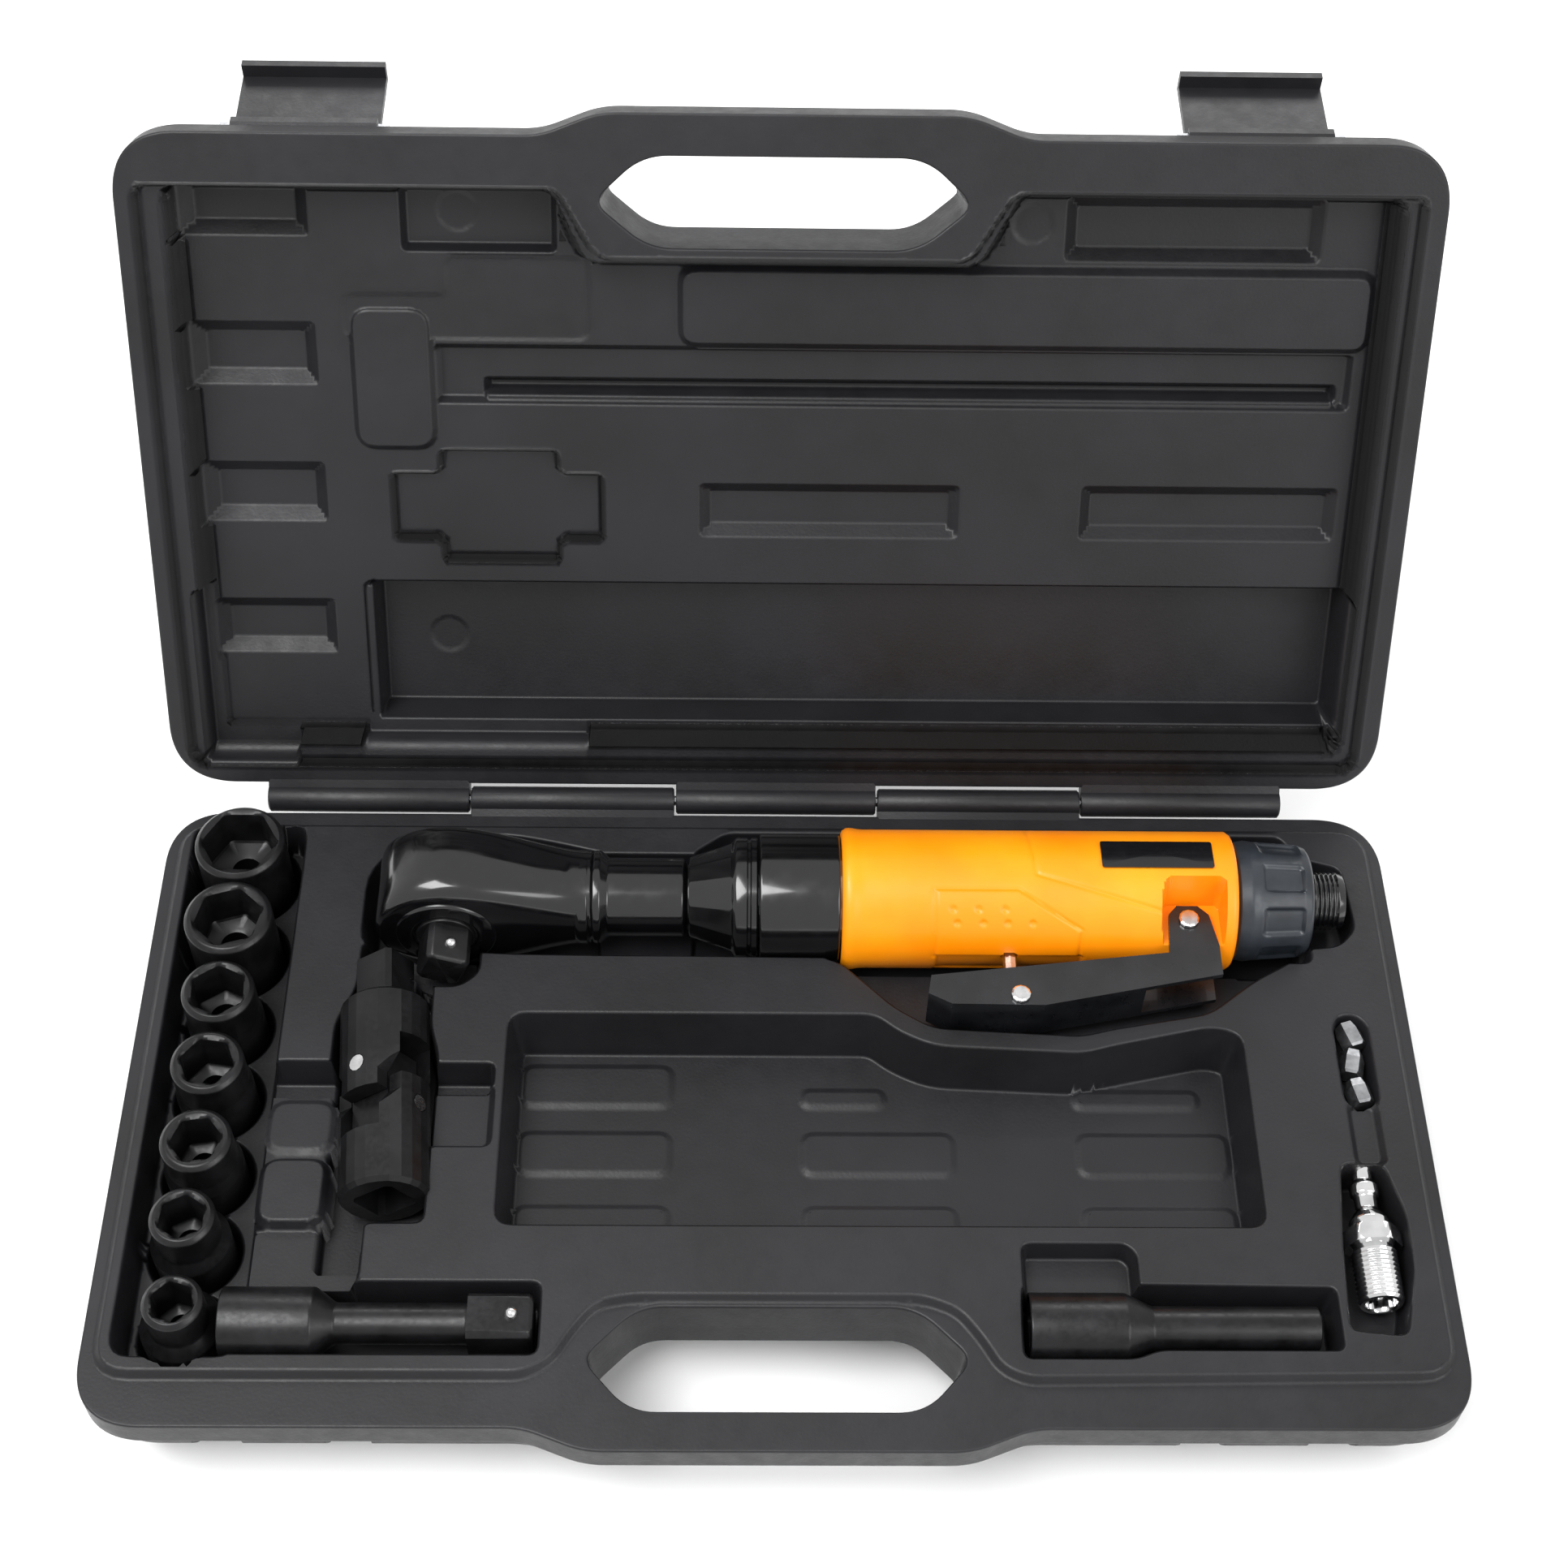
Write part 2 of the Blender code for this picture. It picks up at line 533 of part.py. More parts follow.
def case_lid():
    """The upper half, shaped closed and turned open about the hinge."""
    lid = shape("case_lid", loft(body_rings(LID_HEIGHT, 1)), look=CASE_PLASTIC, frame=LID)
    shave = block(-CASE_WIDTH, CASE_WIDTH, -50, CASE_DEPTH + 50, -1.0, RIM_GAP)
    cut(lid, shape("lid_rim_gap", shave, frame=LID))
    cut_all(lid, lid_recesses(0.0))
    back = CASE_DEPTH / SY
    raised = (("left", -99.9, -54.5, 133, 154, 11.0), ("right", -27.6, 165, 132, 153, 11.0),
              ("pad", -120.4, -99.5, 101, 141, 15.2))
    for name, x0, x1, l0, l1, low in raised:
        outline = rounded(box_plan(x0, x1, back - l1, back - l0), 3.0)
        cut(lid, shape("lid_raised_" + name, plate(outline, low * SZ, 24.0 * SZ), frame=LID), "UNION")
    for side in (-1, 1):
        x0, x1 = side * LATCH_AT - 24.0, side * LATCH_AT + 24.0
        space = block(x0, x1, -2.0, 8.5, FLANGE_HEIGHT, LID_HEIGHT + 1)
        cut(lid, shape(f"lid_latch_space_{side}", space, frame=LID))
        for end in (-1, 1):
            inside = side * LATCH_AT + end * (LATCH_WIDTH / 2 + 0.4)
            outside = inside + end * 3.0
            low, high = FLANGE_HEIGHT - 1.0, LATCH_PIVOT.z + 2.6
            corners = [(0.3, low), (9.0, low), (9.0, high), (LATCH_PIVOT.y - 1.4, high)]
            lug = plate(rounded(corners, 0.8, 1), min(inside, outside), max(inside, outside))
            cut(lid, shape(f"lid_lug_{side}_{end}", lug, ALONG_X, frame=LID), "UNION")
        bore = rod(LATCH_PIN_RADIUS + 0.3, FACETS_TINY, side * LATCH_AT - 30, side * LATCH_AT + 30,
                   LATCH_PIVOT.y, LATCH_PIVOT.z)
        cut(lid, shape(f"lid_lug_bore_{side}", bore, ALONG_X, frame=LID))
    step = plan([(-61.9, -12.0), (61.9, -12.0), (61.9, 14.3), (50.6, 32.9), (-50.6, 32.9), (-61.9, 14.3)])
    cut(lid, shape("lid_handle_step", plate(step, HANDLE_THICK * SZ, LID_HEIGHT + 1.0), frame=LID))
    air = shape("lid_air", loft(air_rings(LID_HEIGHT, 1, LID_SIDE_WALL)), frame=LID)
    cut_all(air, lid_recesses(WALL))
    step = plate(grown(step, WALL), HANDLE_THICK * SZ - WALL, LID_HEIGHT + 1.0)
    cut(air, shape("lid_air_handle_step", step, frame=LID))
    for side in (-1, 1):
        x0, x1 = side * LATCH_AT - 24.0 - WALL, side * LATCH_AT + 24.0 + WALL
        catch = block(x0, x1, -2.0, 8.5 + WALL, -1, LID_HEIGHT + 1)
        cut(air, shape(f"lid_air_catch_{side}", catch, frame=LID))
    cut(lid, air)
    vent = rod(2.0, FACETS_TINY, 0.0, 14.0)
    cut(lid, shape("lid_vent", vent, at(40.0 * SX, CASE_DEPTH - 12.0, 0.72 * LID_HEIGHT, ALONG_Y), frame=LID))
    knuckles(lid, ((-152.0, -92.0), (-30.0, 30.0), (92.0, 152.0)), 1, LID)
    return lid


def hinge_pin():
    pin = rod(HINGE_PIN_RADIUS, FACETS_TINY, -152.0 * SX, 152.0 * SX, HINGE.y)
    shape("hinge_pin", pin, ALONG_X, GREY_STEEL)


def latches():
    """Bent latch plates with a hook, each on its own pin across two lugs."""
    y0, z0 = LATCH_PIVOT.y, LATCH_PIVOT.z
    front = -0.8
    low = -FLANGE_HEIGHT - 0.5
    side_view = [(y0 - 2.4, z0 - 0.4), (front, FLANGE_HEIGHT - 4.0), (front, low), (3.0, low),
                 (3.0, low - LATCH_THICK), (front - LATCH_THICK, low - LATCH_THICK),
                 (front - LATCH_THICK, FLANGE_HEIGHT - 4.0), (y0 - 1.8, z0 + 2.4), (y0 + 1.6, z0 + 2.4),
                 (y0 + 2.4, z0 + 0.6), (y0 + 2.2, z0 - 1.6), (y0 - 0.6, z0 - 2.2)]
    for name, side in (("left", -1), ("right", 1)):
        middle = side * LATCH_AT * SX
        frame = axis_frame(f"latch_axis_{name}", LID, (middle, y0, z0), turn_about("X", -LATCH_OPEN_DEG))
        latch = plate(side_view, middle - LATCH_WIDTH / 2, middle + LATCH_WIDTH / 2)
        made = shape("latch_" + name, latch, ALONG_X, CASE_PLASTIC, frame)
        bore = rod(LATCH_PIN_RADIUS + 0.3, FACETS_TINY, middle - 40, middle + 40, y0, z0)
        cut(made, shape(f"latch_{name}_bore", bore, ALONG_X, frame=frame))
        reach = LATCH_WIDTH / 2 + 3.0
        pin = rod(LATCH_PIN_RADIUS, FACETS_TINY, middle - reach, middle + reach, y0, z0)
        shape(f"latch_pin_{name}", pin, ALONG_X, GREY_STEEL, LID)


# ---------------------------------------------------------------- loose tools


def square_hole(name, depth, place, frame=CASE):
    """Cutters of a female drive: the square, and the round relief that bounds its corners."""
    side = (DRIVE_SQUARE + SQUARE_GAP) * ST
    relief = SQUARE_RELIEF * ST
    corner = math.acos(min(1.0, side / 2 / relief))
    outline = []
    for k in range(4):
        middle = math.tau * k / 4
        outline += [(relief * math.cos(middle - corner), relief * math.sin(middle - corner)),
                    (relief * math.cos(middle + corner), relief * math.sin(middle + corner))]
    return shape(name, plate(outline, 0.0, depth), place, frame=frame)


def male_square(chamfer=1.3):
    half = DRIVE_SQUARE * ST / 2
    cut_back = half - chamfer * ST
    return [(half, -cut_back), (half, cut_back), (cut_back, half), (-cut_back, half), (-half, cut_back),
            (-half, -cut_back), (-cut_back, -half), (cut_back, -half)]


def sockets():
    for i, (x, y) in enumerate(SOCKET_ROW):
        wide = max(NUT_END_DIAMETERS[i], DRIVE_END_DIAMETER) / 2 * ST
        nut = NUT_END_DIAMETERS[i] / 2 * ST
        top = SOCKET_STANDS * ST
        foot = (SOCKET_STANDS - SOCKET_HEIGHT) * ST
        profile = [(0.0, foot), (wide, foot), (wide, top - 14.5 * ST), (nut, top - 11.0 * ST),
                   (nut, top - 0.8), (nut - 0.8, top), (0.0, top)]
        name = f"socket_{int(NUT_SIZES[i])}mm"
        if nut == wide:
            del profile[2:4]
        made = turned(name, profile, at(x * SX, y * SY, 0.0), FACETS_MEDIUM, BLACK_OXIDE)
        hexes = hex_rod((NUT_SIZES[i] + 0.2) * ST, top - 14.0 * ST, top + 2.0, 0.3 * i)
        cut(made, shape(name + "_hex", hexes, at(x * SX, y * SY, 0.0)))
        bore = rod(4.0 * ST, FACETS_TINY, foot - 1.0, top)
        cut(made, shape(name + "_bore", bore, at(x * SX, y * SY, 0.0)))
        cut(made, square_hole(name + "_square", 16.0 * ST, at(x * SX, y * SY, foot - 0.01)))


def universal_joint():
    """Fork with a male square and fork with a female square, each on its own pin through a middle block."""
    radius = 12.5 * ST
    z = UJOINT_FLOOR * SZ + TOOL_GAP + radius
    turn = turn_about("Z", 5.0) @ turn_about("Y", -33.0)
    frame = Frame("ujoint", CASE, at(-108.0 * SX, 94.7 * SY, z, turn))
    middle = block(-BLOCK_HALF * ST, BLOCK_HALF * ST, -BLOCK_LENGTH / 2 * ST, BLOCK_LENGTH / 2 * ST,
                   -BLOCK_HALF * ST, BLOCK_HALF * ST)
    middle = shape("ujoint_block", middle, UPRIGHT, BLACK_OXIDE, frame)
    flip = turn_about("X", 180.0) @ turn_about("Y", 90.0)
    ends = {}
    for name, turn, length in (("square", UPRIGHT, 29.5 * ST), ("socket", flip, 31.5 * ST)):
        place = turn @ ALONG_Y
        pin_place = place @ at(0.0, 0.0, PIN_OFFSET * ST, turn_about("Y", 90.0))
        axis = axis_frame(f"ujoint_{name}_axis", frame, pin_place.translation)
        made = fork(f"ujoint_{name}_end", length, place, axis)
        pin = rod(2.4 * ST, FACETS_SMALL, -radius + 0.2, radius - 0.2)
        shape(f"ujoint_pin_{name}_side", pin, pin_place, BRIGHT_STEEL, frame)
        bore = rod(2.4 * ST + 0.2, FACETS_SMALL, -radius - 1.0, radius + 1.0)
        bore = shape(f"ujoint_bore_{name}", bore, pin_place, frame=frame)
        cut(made, bore)
        cut(middle, bore)
        ends[name] = made, place, length, axis
    male, place, length, axis = ends["square"]
    stem = plate(male_square(), length - 0.01, length + 15.0 * ST)
    cut(male, shape("ujoint_male_square", stem, place, frame=axis), "UNION")
    female, place, length, axis = ends["socket"]
    mouth = place @ at(0.0, 0.0, length - 14.0 * ST)
    cut(female, square_hole("ujoint_female_square", 20.0 * ST, mouth, axis))
    hole = place @ at(0.0, 0.0, length - 7.0 * ST, turn_about("Z", -57.0)) @ ALONG_X
    cut(female, shape("ujoint_ball_hole", rod(2.3 * ST, FACETS_TINY, 0.0, radius + 1.0), hole, frame=axis))


def fork(name, length, place, frame):
    """A round body along local z, slotted at its foot for the middle block, with tapered tines."""
    radius = 12.5 * ST
    foot = -2.0 * ST
    profile = [(0.0, foot), (radius, foot), (radius, length - 1.2), (radius - 1.2, length), (0.0, length)]
    made = turned(name, profile, place, 24, BLACK_OXIDE, frame)
    half = (BLOCK_HALF + 0.4) * ST
    slot = block(-half, half, -radius - 2.0, radius + 2.0, foot - 1.0, (BLOCK_LENGTH / 2 + 2.5) * ST)
    cut(made, shape(name + "_slot", slot, place, frame=frame))
    for side in (-1, 1):
        edge = [(side * BLOCK_HALF * ST, foot - 1.0), (side * (radius + 2.0), foot - 1.0),
                (side * (radius + 2.0), 13.0 * ST), (side * BLOCK_HALF * ST, 3.0 * ST)][::side]
        trim = plate(edge, -radius - 2.0, radius + 2.0)
        cut(made, shape(f"{name}_trim_{side}", trim, place @ ALONG_X, frame=frame))
    return made


def extension_bar():
    radius, shaft = 9.4 * ST, 5.4 * ST
    z = BAR_FLOOR * SZ + TOOL_GAP + radius
    place = at(0.0, 29.0 * SY, z, ALONG_X)
    x0, x1 = -144.5 * SX, -63.5 * SX
    square = 17.0 * ST
    profile = [(0.0, x0), (radius - 0.8, x0), (radius, x0 + 0.8), (radius, -120.5 * SX), (shaft, -115.0 * SX),
               (shaft, x1 - square + 1.0), (0.0, x1 - square + 1.0)]
    bar = turned("extension_bar", profile, place, FACETS_MEDIUM, BLACK_OXIDE)
    cut(bar, shape("bar_square", plate(male_square(), x1 - square, x1), place), "UNION")
    cut(bar, square_hole("bar_hole", 14.0 * ST, at(x0 - 0.01, 29.0 * SY, z, ALONG_X)))
    dimple = place @ at(0.0, DRIVE_SQUARE * ST / 2, x1 - 5.5 * ST)
    cut(bar, shape("bar_ball_seat", ball(2.2 * ST), dimple))
    shape("extension_bar_ball", ball(1.7 * ST), dimple @ at(0.0, 0.3, 0.0), BRIGHT_STEEL)


def bit_adaptor():
    radius, shaft = 9.2 * ST, 5.8 * ST
    z = BAR_FLOOR * SZ + TOOL_GAP + radius
    place = at(0.0, 28.4 * SY, z, ALONG_X)
    x0, x1 = 65.6 * SX, 141.8 * SX
    profile = [(0.0, x0), (radius - 0.8, x0), (radius, x0 + 0.8), (radius, 91.0 * SX), (shaft, 98.0 * SX),
               (shaft, x1 - 0.6), (shaft - 0.6, x1), (0.0, x1)]
    made = turned("bit_adaptor", profile, place, FACETS_MEDIUM, BLACK_OXIDE)
    cut(made, square_hole("adaptor_hole", 14.0 * ST, at(x0 - 0.01, 28.4 * SY, z, ALONG_X)))
    bore = hex_rod(6.6 * ST, x1 - 12.0 * ST, x1 + 1.0)
    cut(made, shape("adaptor_hex", bore, place))


def air_plug():
    """Male quick coupler: threaded foot, hexagon, and the grooved nipple, bored through."""
    z = PLUG_FLOOR * SZ + TOOL_GAP + 8.3 * ST
    foot = 35.5 * SY
    place = at(159.8 * SX, 0.0, z, ALONG_Y)
    steps = ((0.0, 0.0), (5.6, 0.0), (6.3, 0.8), (6.3, 16.0), (5.4, 16.6), (5.4, 24.0), (4.2, 26.0),
             (3.1, 27.4), (3.1, 31.0), (3.9, 31.8), (3.9, 34.6), (2.7, 36.0), (2.9, 40.0), (0.0, 40.0))
    body = turned("air_plug", [(r * ST, foot + h * SY) for r, h in steps], place, FACETS_SMALL, CHROME)
    nut = hex_rod(14.2 * ST, foot + 16.2 * SY, foot + 21.0 * SY, 0.4)
    cut(body, shape("plug_hexagon", nut, place), "UNION")
    bore = rod(1.7 * ST, FACETS_TINY, foot - 1.0, foot + 41.0 * SY)
    cut(body, shape("plug_bore", bore, place))
    mouth = rod(4.2 * ST, FACETS_SMALL, foot - 1.0, foot + 9.0 * SY)
    cut(body, shape("plug_mouth", mouth, place))


def driver_bits():
    """Three short hexagonal insert bits lying head to tail."""
    z = BITS_FLOOR * SZ + TOOL_GAP + 3.7 * ST
    for i, (x, y, turn) in enumerate(((162.6, 117.0, 18.0), (161.6, 108.0, -14.0), (162.4, 98.6, 12.0))):
        place = at(x * SX, y * SY, z, turn_about("Z", turn)) @ ALONG_Y
        hexes = circle(6.35 / math.sqrt(3.0) * ST, 6, turn=0.5)
        small = [(0.8 * a, 0.8 * b) for a, b in hexes]
        bit = loft([(small, -3.9 * ST), (hexes, -3.3 * ST), (hexes, 1.4 * ST), (small, 3.9 * ST)])
        shape(f"driver_bit_{i + 1}", bit, place, GREY_STEEL)


# ---------------------------------------------------------------- air ratchet


def along_wrench():
    return at(0.0, WRENCH_Y, WRENCH_Z, ALONG_X)


def ratchet_head():
    """Flat round head on a tapering neck, hollow for the drive and the crankshaft."""
    r = HEAD_RADIUS * ST
    x = HEAD_X * SX
    half = 13.5 * ST
    along_y = at(x, WRENCH_Y, WRENCH_Z, ALONG_Y)
    soft = 2.2 * ST
    profile = [(0.0, -half), (r - soft, -half), (r, -half + soft), (r, half - soft), (r - soft, half),
               (0.0, half)]
    head = turned("ratchet_head", profile, along_y, FACETS_LARGE, GLOSS_BLACK)
    ring = 13.4 * ST
    ends = []
    for tall, deep, along in ((r - 1.5 * ST, half, x), (ring, ring * 0.9, -53.0 * SX)):
        corners = [(-deep, -tall), (deep, -tall), (deep, tall), (-deep, tall)]
        ends.append((rounded(corners, 5.0 * ST, 3), along))
    taper = loft(ends)
    cut(head, shape("head_taper", taper, along_wrench()), "UNION")
    neck = [(0.0, -56.0 * SX), (12.0 * ST, -56.0 * SX), (ring, -54.0 * SX), (ring, -50.5 * SX),
            (11.3 * ST, -48.5 * SX), (11.3 * ST, -26.0 * SX), (9.4 * ST, -25.6 * SX), (9.4 * ST, -7.0 * SX),
            (0.0, -7.0 * SX)]
    cut(head, turned("head_neck", neck, along_wrench(), FACETS_MEDIUM), "UNION")
    well = rod(15.0 * ST, FACETS_MEDIUM, -half - 1.0, 7.5 * ST)
    cut(head, shape("head_well", well, along_y))
    tunnel = rod(7.0 * ST, FACETS_SMALL, x + 8.0 * ST, -6.0 * SX)
    cut(head, shape("head_tunnel", tunnel, along_wrench()))
    shaft = rod(3.4 * ST, FACETS_SMALL, 0.0, half + 1.0)
    cut(head, shape("head_knob_bore", shaft, along_y))
    return along_y, half


def drive_parts(along_y, half):
    """Toothed drive with the male square, its ball, the yoke and pawl around it, and the reversing knob."""
    teeth = 16
    radius = 9.6 * ST
    star = []
    for i in range(teeth):
        for k, r in ((0.0, radius), (0.5, radius - 1.3 * ST)):
            a = math.tau * (i + k) / teeth
            star.append((r * math.cos(a), r * math.sin(a)))
    drive = shape("drive_spindle", plate(star, -4.5 * ST, 5.5 * ST), along_y, GLOSS_BLACK, HEAD)
    boss = rod(8.6 * ST, FACETS_MEDIUM, -half - 0.4, -4.0 * ST)
    cut(drive, shape("drive_boss", boss, along_y, frame=HEAD), "UNION")
    tilt = turn_about("Z", 22.0)
    tip = -half - 12.3 * ST
    cut(drive, shape("drive_square", plate(male_square(), tip, -half), along_y @ tilt, frame=HEAD), "UNION")
    # The local x axis of this placement points up, so the face that holds the ball looks up and to the right.
    seat = along_y @ tilt @ at(DRIVE_SQUARE * ST / 2, 0.0, tip + 5.6 * ST)
    cut(drive, shape("drive_ball_seat", ball(2.2 * ST), seat, frame=HEAD))
    shape("drive_ball", ball(1.7 * ST), seat @ at(0.3, 0.0, 0.0), BRIGHT_STEEL, HEAD)
    cover = ring_profile(9.0 * ST, 14.6 * ST, -half - 0.2, -half + 2.4 * ST)
    turned("head_cover", cover, along_y, FACETS_MEDIUM, GLOSS_BLACK, closed=True)
    yoke = ring_profile(10.1 * ST, 14.2 * ST, -half + 3.2 * ST, 5.2 * ST)
    yoke = turned("ratchet_yoke", yoke, along_y, FACETS_MEDIUM, GREY_STEEL, closed=True)
    window = block(-15.5 * ST, -9.0 * ST, -3.2 * ST, 3.2 * ST, -3.4 * ST, 3.4 * ST)
    cut(yoke, shape("yoke_pawl_window", window, along_y))
    pawl = block(-13.8 * ST, -10.2 * ST, -2.8 * ST, 2.8 * ST, -3.0 * ST, 3.0 * ST)
    shape("ratchet_pawl", pawl, along_y, GREY_STEEL)
    knob = [(0.0, 8.2 * ST), (2.9 * ST, 8.2 * ST), (2.9 * ST, half + 0.5), (8.0 * ST, half + 0.5),
            (8.0 * ST, half + 3.2 * ST), (7.2 * ST, half + 4.0 * ST), (0.0, half + 4.0 * ST)]
    turned("reverse_knob", knob, along_y, FACETS_MEDIUM, GREY_STEEL)


def ring_profile(inner, outer, low, high):
    return [(inner, low), (outer, low), (outer, high), (inner, high)]


def drive_line():
    """Crankshaft, planet gears, ring gear, motor and its end plates, on the wrench axis."""
    shaft = [(0.0, -76.0 * SX), (3.0 * ST, -76.0 * SX), (3.0 * ST, -70.0 * SX), (5.2 * ST, -70.0 * SX),
             (5.2 * ST, -5.0 * SX), (11.0 * ST, -5.0 * SX), (11.0 * ST, 0.0), (0.0, 0.0)]
    turned("crankshaft", shaft, along_wrench(), FACETS_SMALL, GREY_STEEL)
    for i in range(3):
        planet = rod(3.8 * ST, FACETS_SMALL, 0.4 * SX, 12.0 * SX, 7.9 * ST)
        shape(f"planet_gear_{i + 1}", planet, along_wrench() @ turn_about("Z", 120.0 * i), GREY_STEEL)
    outer = 15.4 * ST
    rings = (("ring_gear", 12.2, 1.0, 13.0), ("motor_plate_front", 4.0, 17.0, 21.0),
             ("motor_plate_rear", 4.0, 56.0, 60.0), ("motor_cylinder", 12.4, 21.4, 55.6))
    for name, inner, x0, x1 in rings:
        profile = ring_profile(inner * ST, outer, x0 * SX, x1 * SX)
        turned(name, profile, along_wrench(), FACETS_MEDIUM, GREY_STEEL, closed=True)
    profile = [(0.0, 2.0 * SX), (3.6 * ST, 2.0 * SX), (3.6 * ST, 21.8 * SX), (10.2 * ST, 21.8 * SX),
               (10.2 * ST, 55.2 * SX), (3.6 * ST, 55.2 * SX), (3.6 * ST, 60.5 * SX), (0.0, 60.5 * SX)]
    rotor = turned("motor_rotor", profile, along_wrench(), FACETS_MEDIUM, GREY_STEEL)
    for i in range(5):
        vane = block(8.0 * ST, 11.8 * ST, -0.8 * ST, 0.8 * ST, 22.0 * SX, 55.0 * SX)
        cut(rotor, shape(f"rotor_vane_{i + 1}", vane, along_wrench() @ turn_about("Z", 72.0 * i)), "UNION")


def clamp_and_housing():
    nut = [(9.7 * ST, -25.2 * SX), (11.8 * ST, -25.2 * SX), (15.8 * ST, -13.0 * SX), (17.4 * ST, -12.0 * SX),
           (17.4 * ST, -5.4 * SX), (9.7 * ST, -5.4 * SX)]
    turned("clamp_nut", nut, along_wrench(), 24, GLOSS_BLACK, closed=True)
    body = [(15.7 * ST, 0.4 * SX), (15.7 * ST, 18.1 * SX), (18.6 * ST, 18.1 * SX), (18.6 * ST, -4.9 * SX),
            (12.0 * ST, -4.9 * SX), (12.0 * ST, 0.4 * SX)][::-1]
    turned("front_housing", body, along_wrench(), FACETS_LARGE, GLOSS_BLACK, closed=True)


def lever_outline():
    """The lever seen from above: pivot ear at the back, straight inner edge, tapering tip."""
    return plan([(42.5, 123.0), (49.0, 119.6), (75.0, 119.3), (126.0, 129.8), (126.0, 139.6), (124.0, 150.0),
                 (121.0, 153.0), (115.0, 153.0), (112.5, 150.0), (111.5, 137.0), (43.5, 129.0)])


def grip():
    """Moulded grip over the motor, with slots for the lever, an air way and a seat for the inlet."""
    r = GRIP_RADIUS * ST
    x0, x1 = 18.6 * SX, 131.4 * SX
    motor_end = 61.0 * SX
    profile = [(0.0, x0), (r - 1.2, x0), (r, x0 + 1.2), (r, x1 - 1.2), (r - 1.2, x1), (0.0, x1)]
    made = turned("grip_shell", profile, along_wrench(), FACETS_LARGE, ORANGE)
    cut(made, shape("grip_bore", rod(15.8 * ST, FACETS_MEDIUM, x0 - 1.0, motor_end), along_wrench()))
    airway = rod(AIRWAY_RADIUS * ST, FACETS_SMALL, motor_end - 1.0, x1 + 1.0)
    cut(made, shape("grip_airway", airway, along_wrench()))
    slot = plan([(110.0, 134.0), (127.4, 134.0), (127.4, 154.6), (111.2, 154.6), (110.0, 151.0)])
    for name, z0, z1 in (("upper", 5.6 * ST, 24.0 * ST), ("lower", -24.0 * ST, -5.6 * ST)):
        cut(made, shape("grip_slot_" + name, plate(slot, z0, z1), at(0.0, 0.0, WRENCH_Z)))
    pin = rod(2.3 * ST, FACETS_TINY, -24.0 * ST, 24.0 * ST)
    cut(made, shape("grip_pin_bore", pin, at(LEVER_PIVOT_X * SX, LEVER_PIVOT_Y * SY, WRENCH_Z)))
    stem = rod(2.6 * ST, FACETS_TINY, 134.0 * SY, 158.0 * SY)
    cut(made, shape("grip_stem_bore", stem, at(66.8 * SX, 0.0, WRENCH_Z, ALONG_Y)))


def lever_parts():
    """Channel-section throttle lever, its pivot pin, its cross pin and the valve stem it presses."""
    inner, outer = 5.9 * ST, 7.5 * ST
    z = WRENCH_Z
    lever = plate(lever_outline(), -outer, outer)
    lever = shape("throttle_lever", lever, at(0.0, 0.0, z), DARK_SATIN, LEVER)
    hollow = plan([(40.0, 150.0), (40.0, 127.0), (49.6, 121.1), (74.7, 120.9), (104.0, 126.8), (104.0, 122.0),
                   (130.0, 122.0), (130.0, 165.0), (104.0, 165.0)])
    cut(lever, shape("lever_hollow", plate(hollow, -inner, inner), at(0.0, 0.0, z), frame=LEVER))
    pivot = (LEVER_PIVOT_X * SX, LEVER_PIVOT_Y * SY)
    cross = (68.3 * SX, 122.4 * SY)
    for name, (x, y), radius, head, frame in (("lever_pivot_pin", pivot, 1.9 * ST, 2.9 * ST, CASE),
                                              ("lever_cross_pin", cross, 1.6 * ST, 2.7 * ST, LEVER)):
        bore = rod(radius + 0.3, FACETS_TINY, -outer - 1.0, outer + 1.0)
        cut(lever, shape(name + "_bore", bore, at(x, y, z), frame=LEVER))
        end = outer + 0.3
        profile = [(0.0, -end - 1.2), (head, -end - 1.2), (head, -end), (radius, -end), (radius, end),
                   (head, end), (head, end + 0.9), (head - 0.5, end + 1.2), (0.0, end + 1.2)]
        turned(name, profile, at(x, y, z), FACETS_SMALL, BRIGHT_STEEL, frame)
    stem = rod(2.0 * ST, FACETS_TINY, 124.5 * SY, 150.5 * SY)
    shape("valve_stem", stem, at(66.8 * SX, 0.0, z, ALONG_Y), BRIGHT_STEEL)


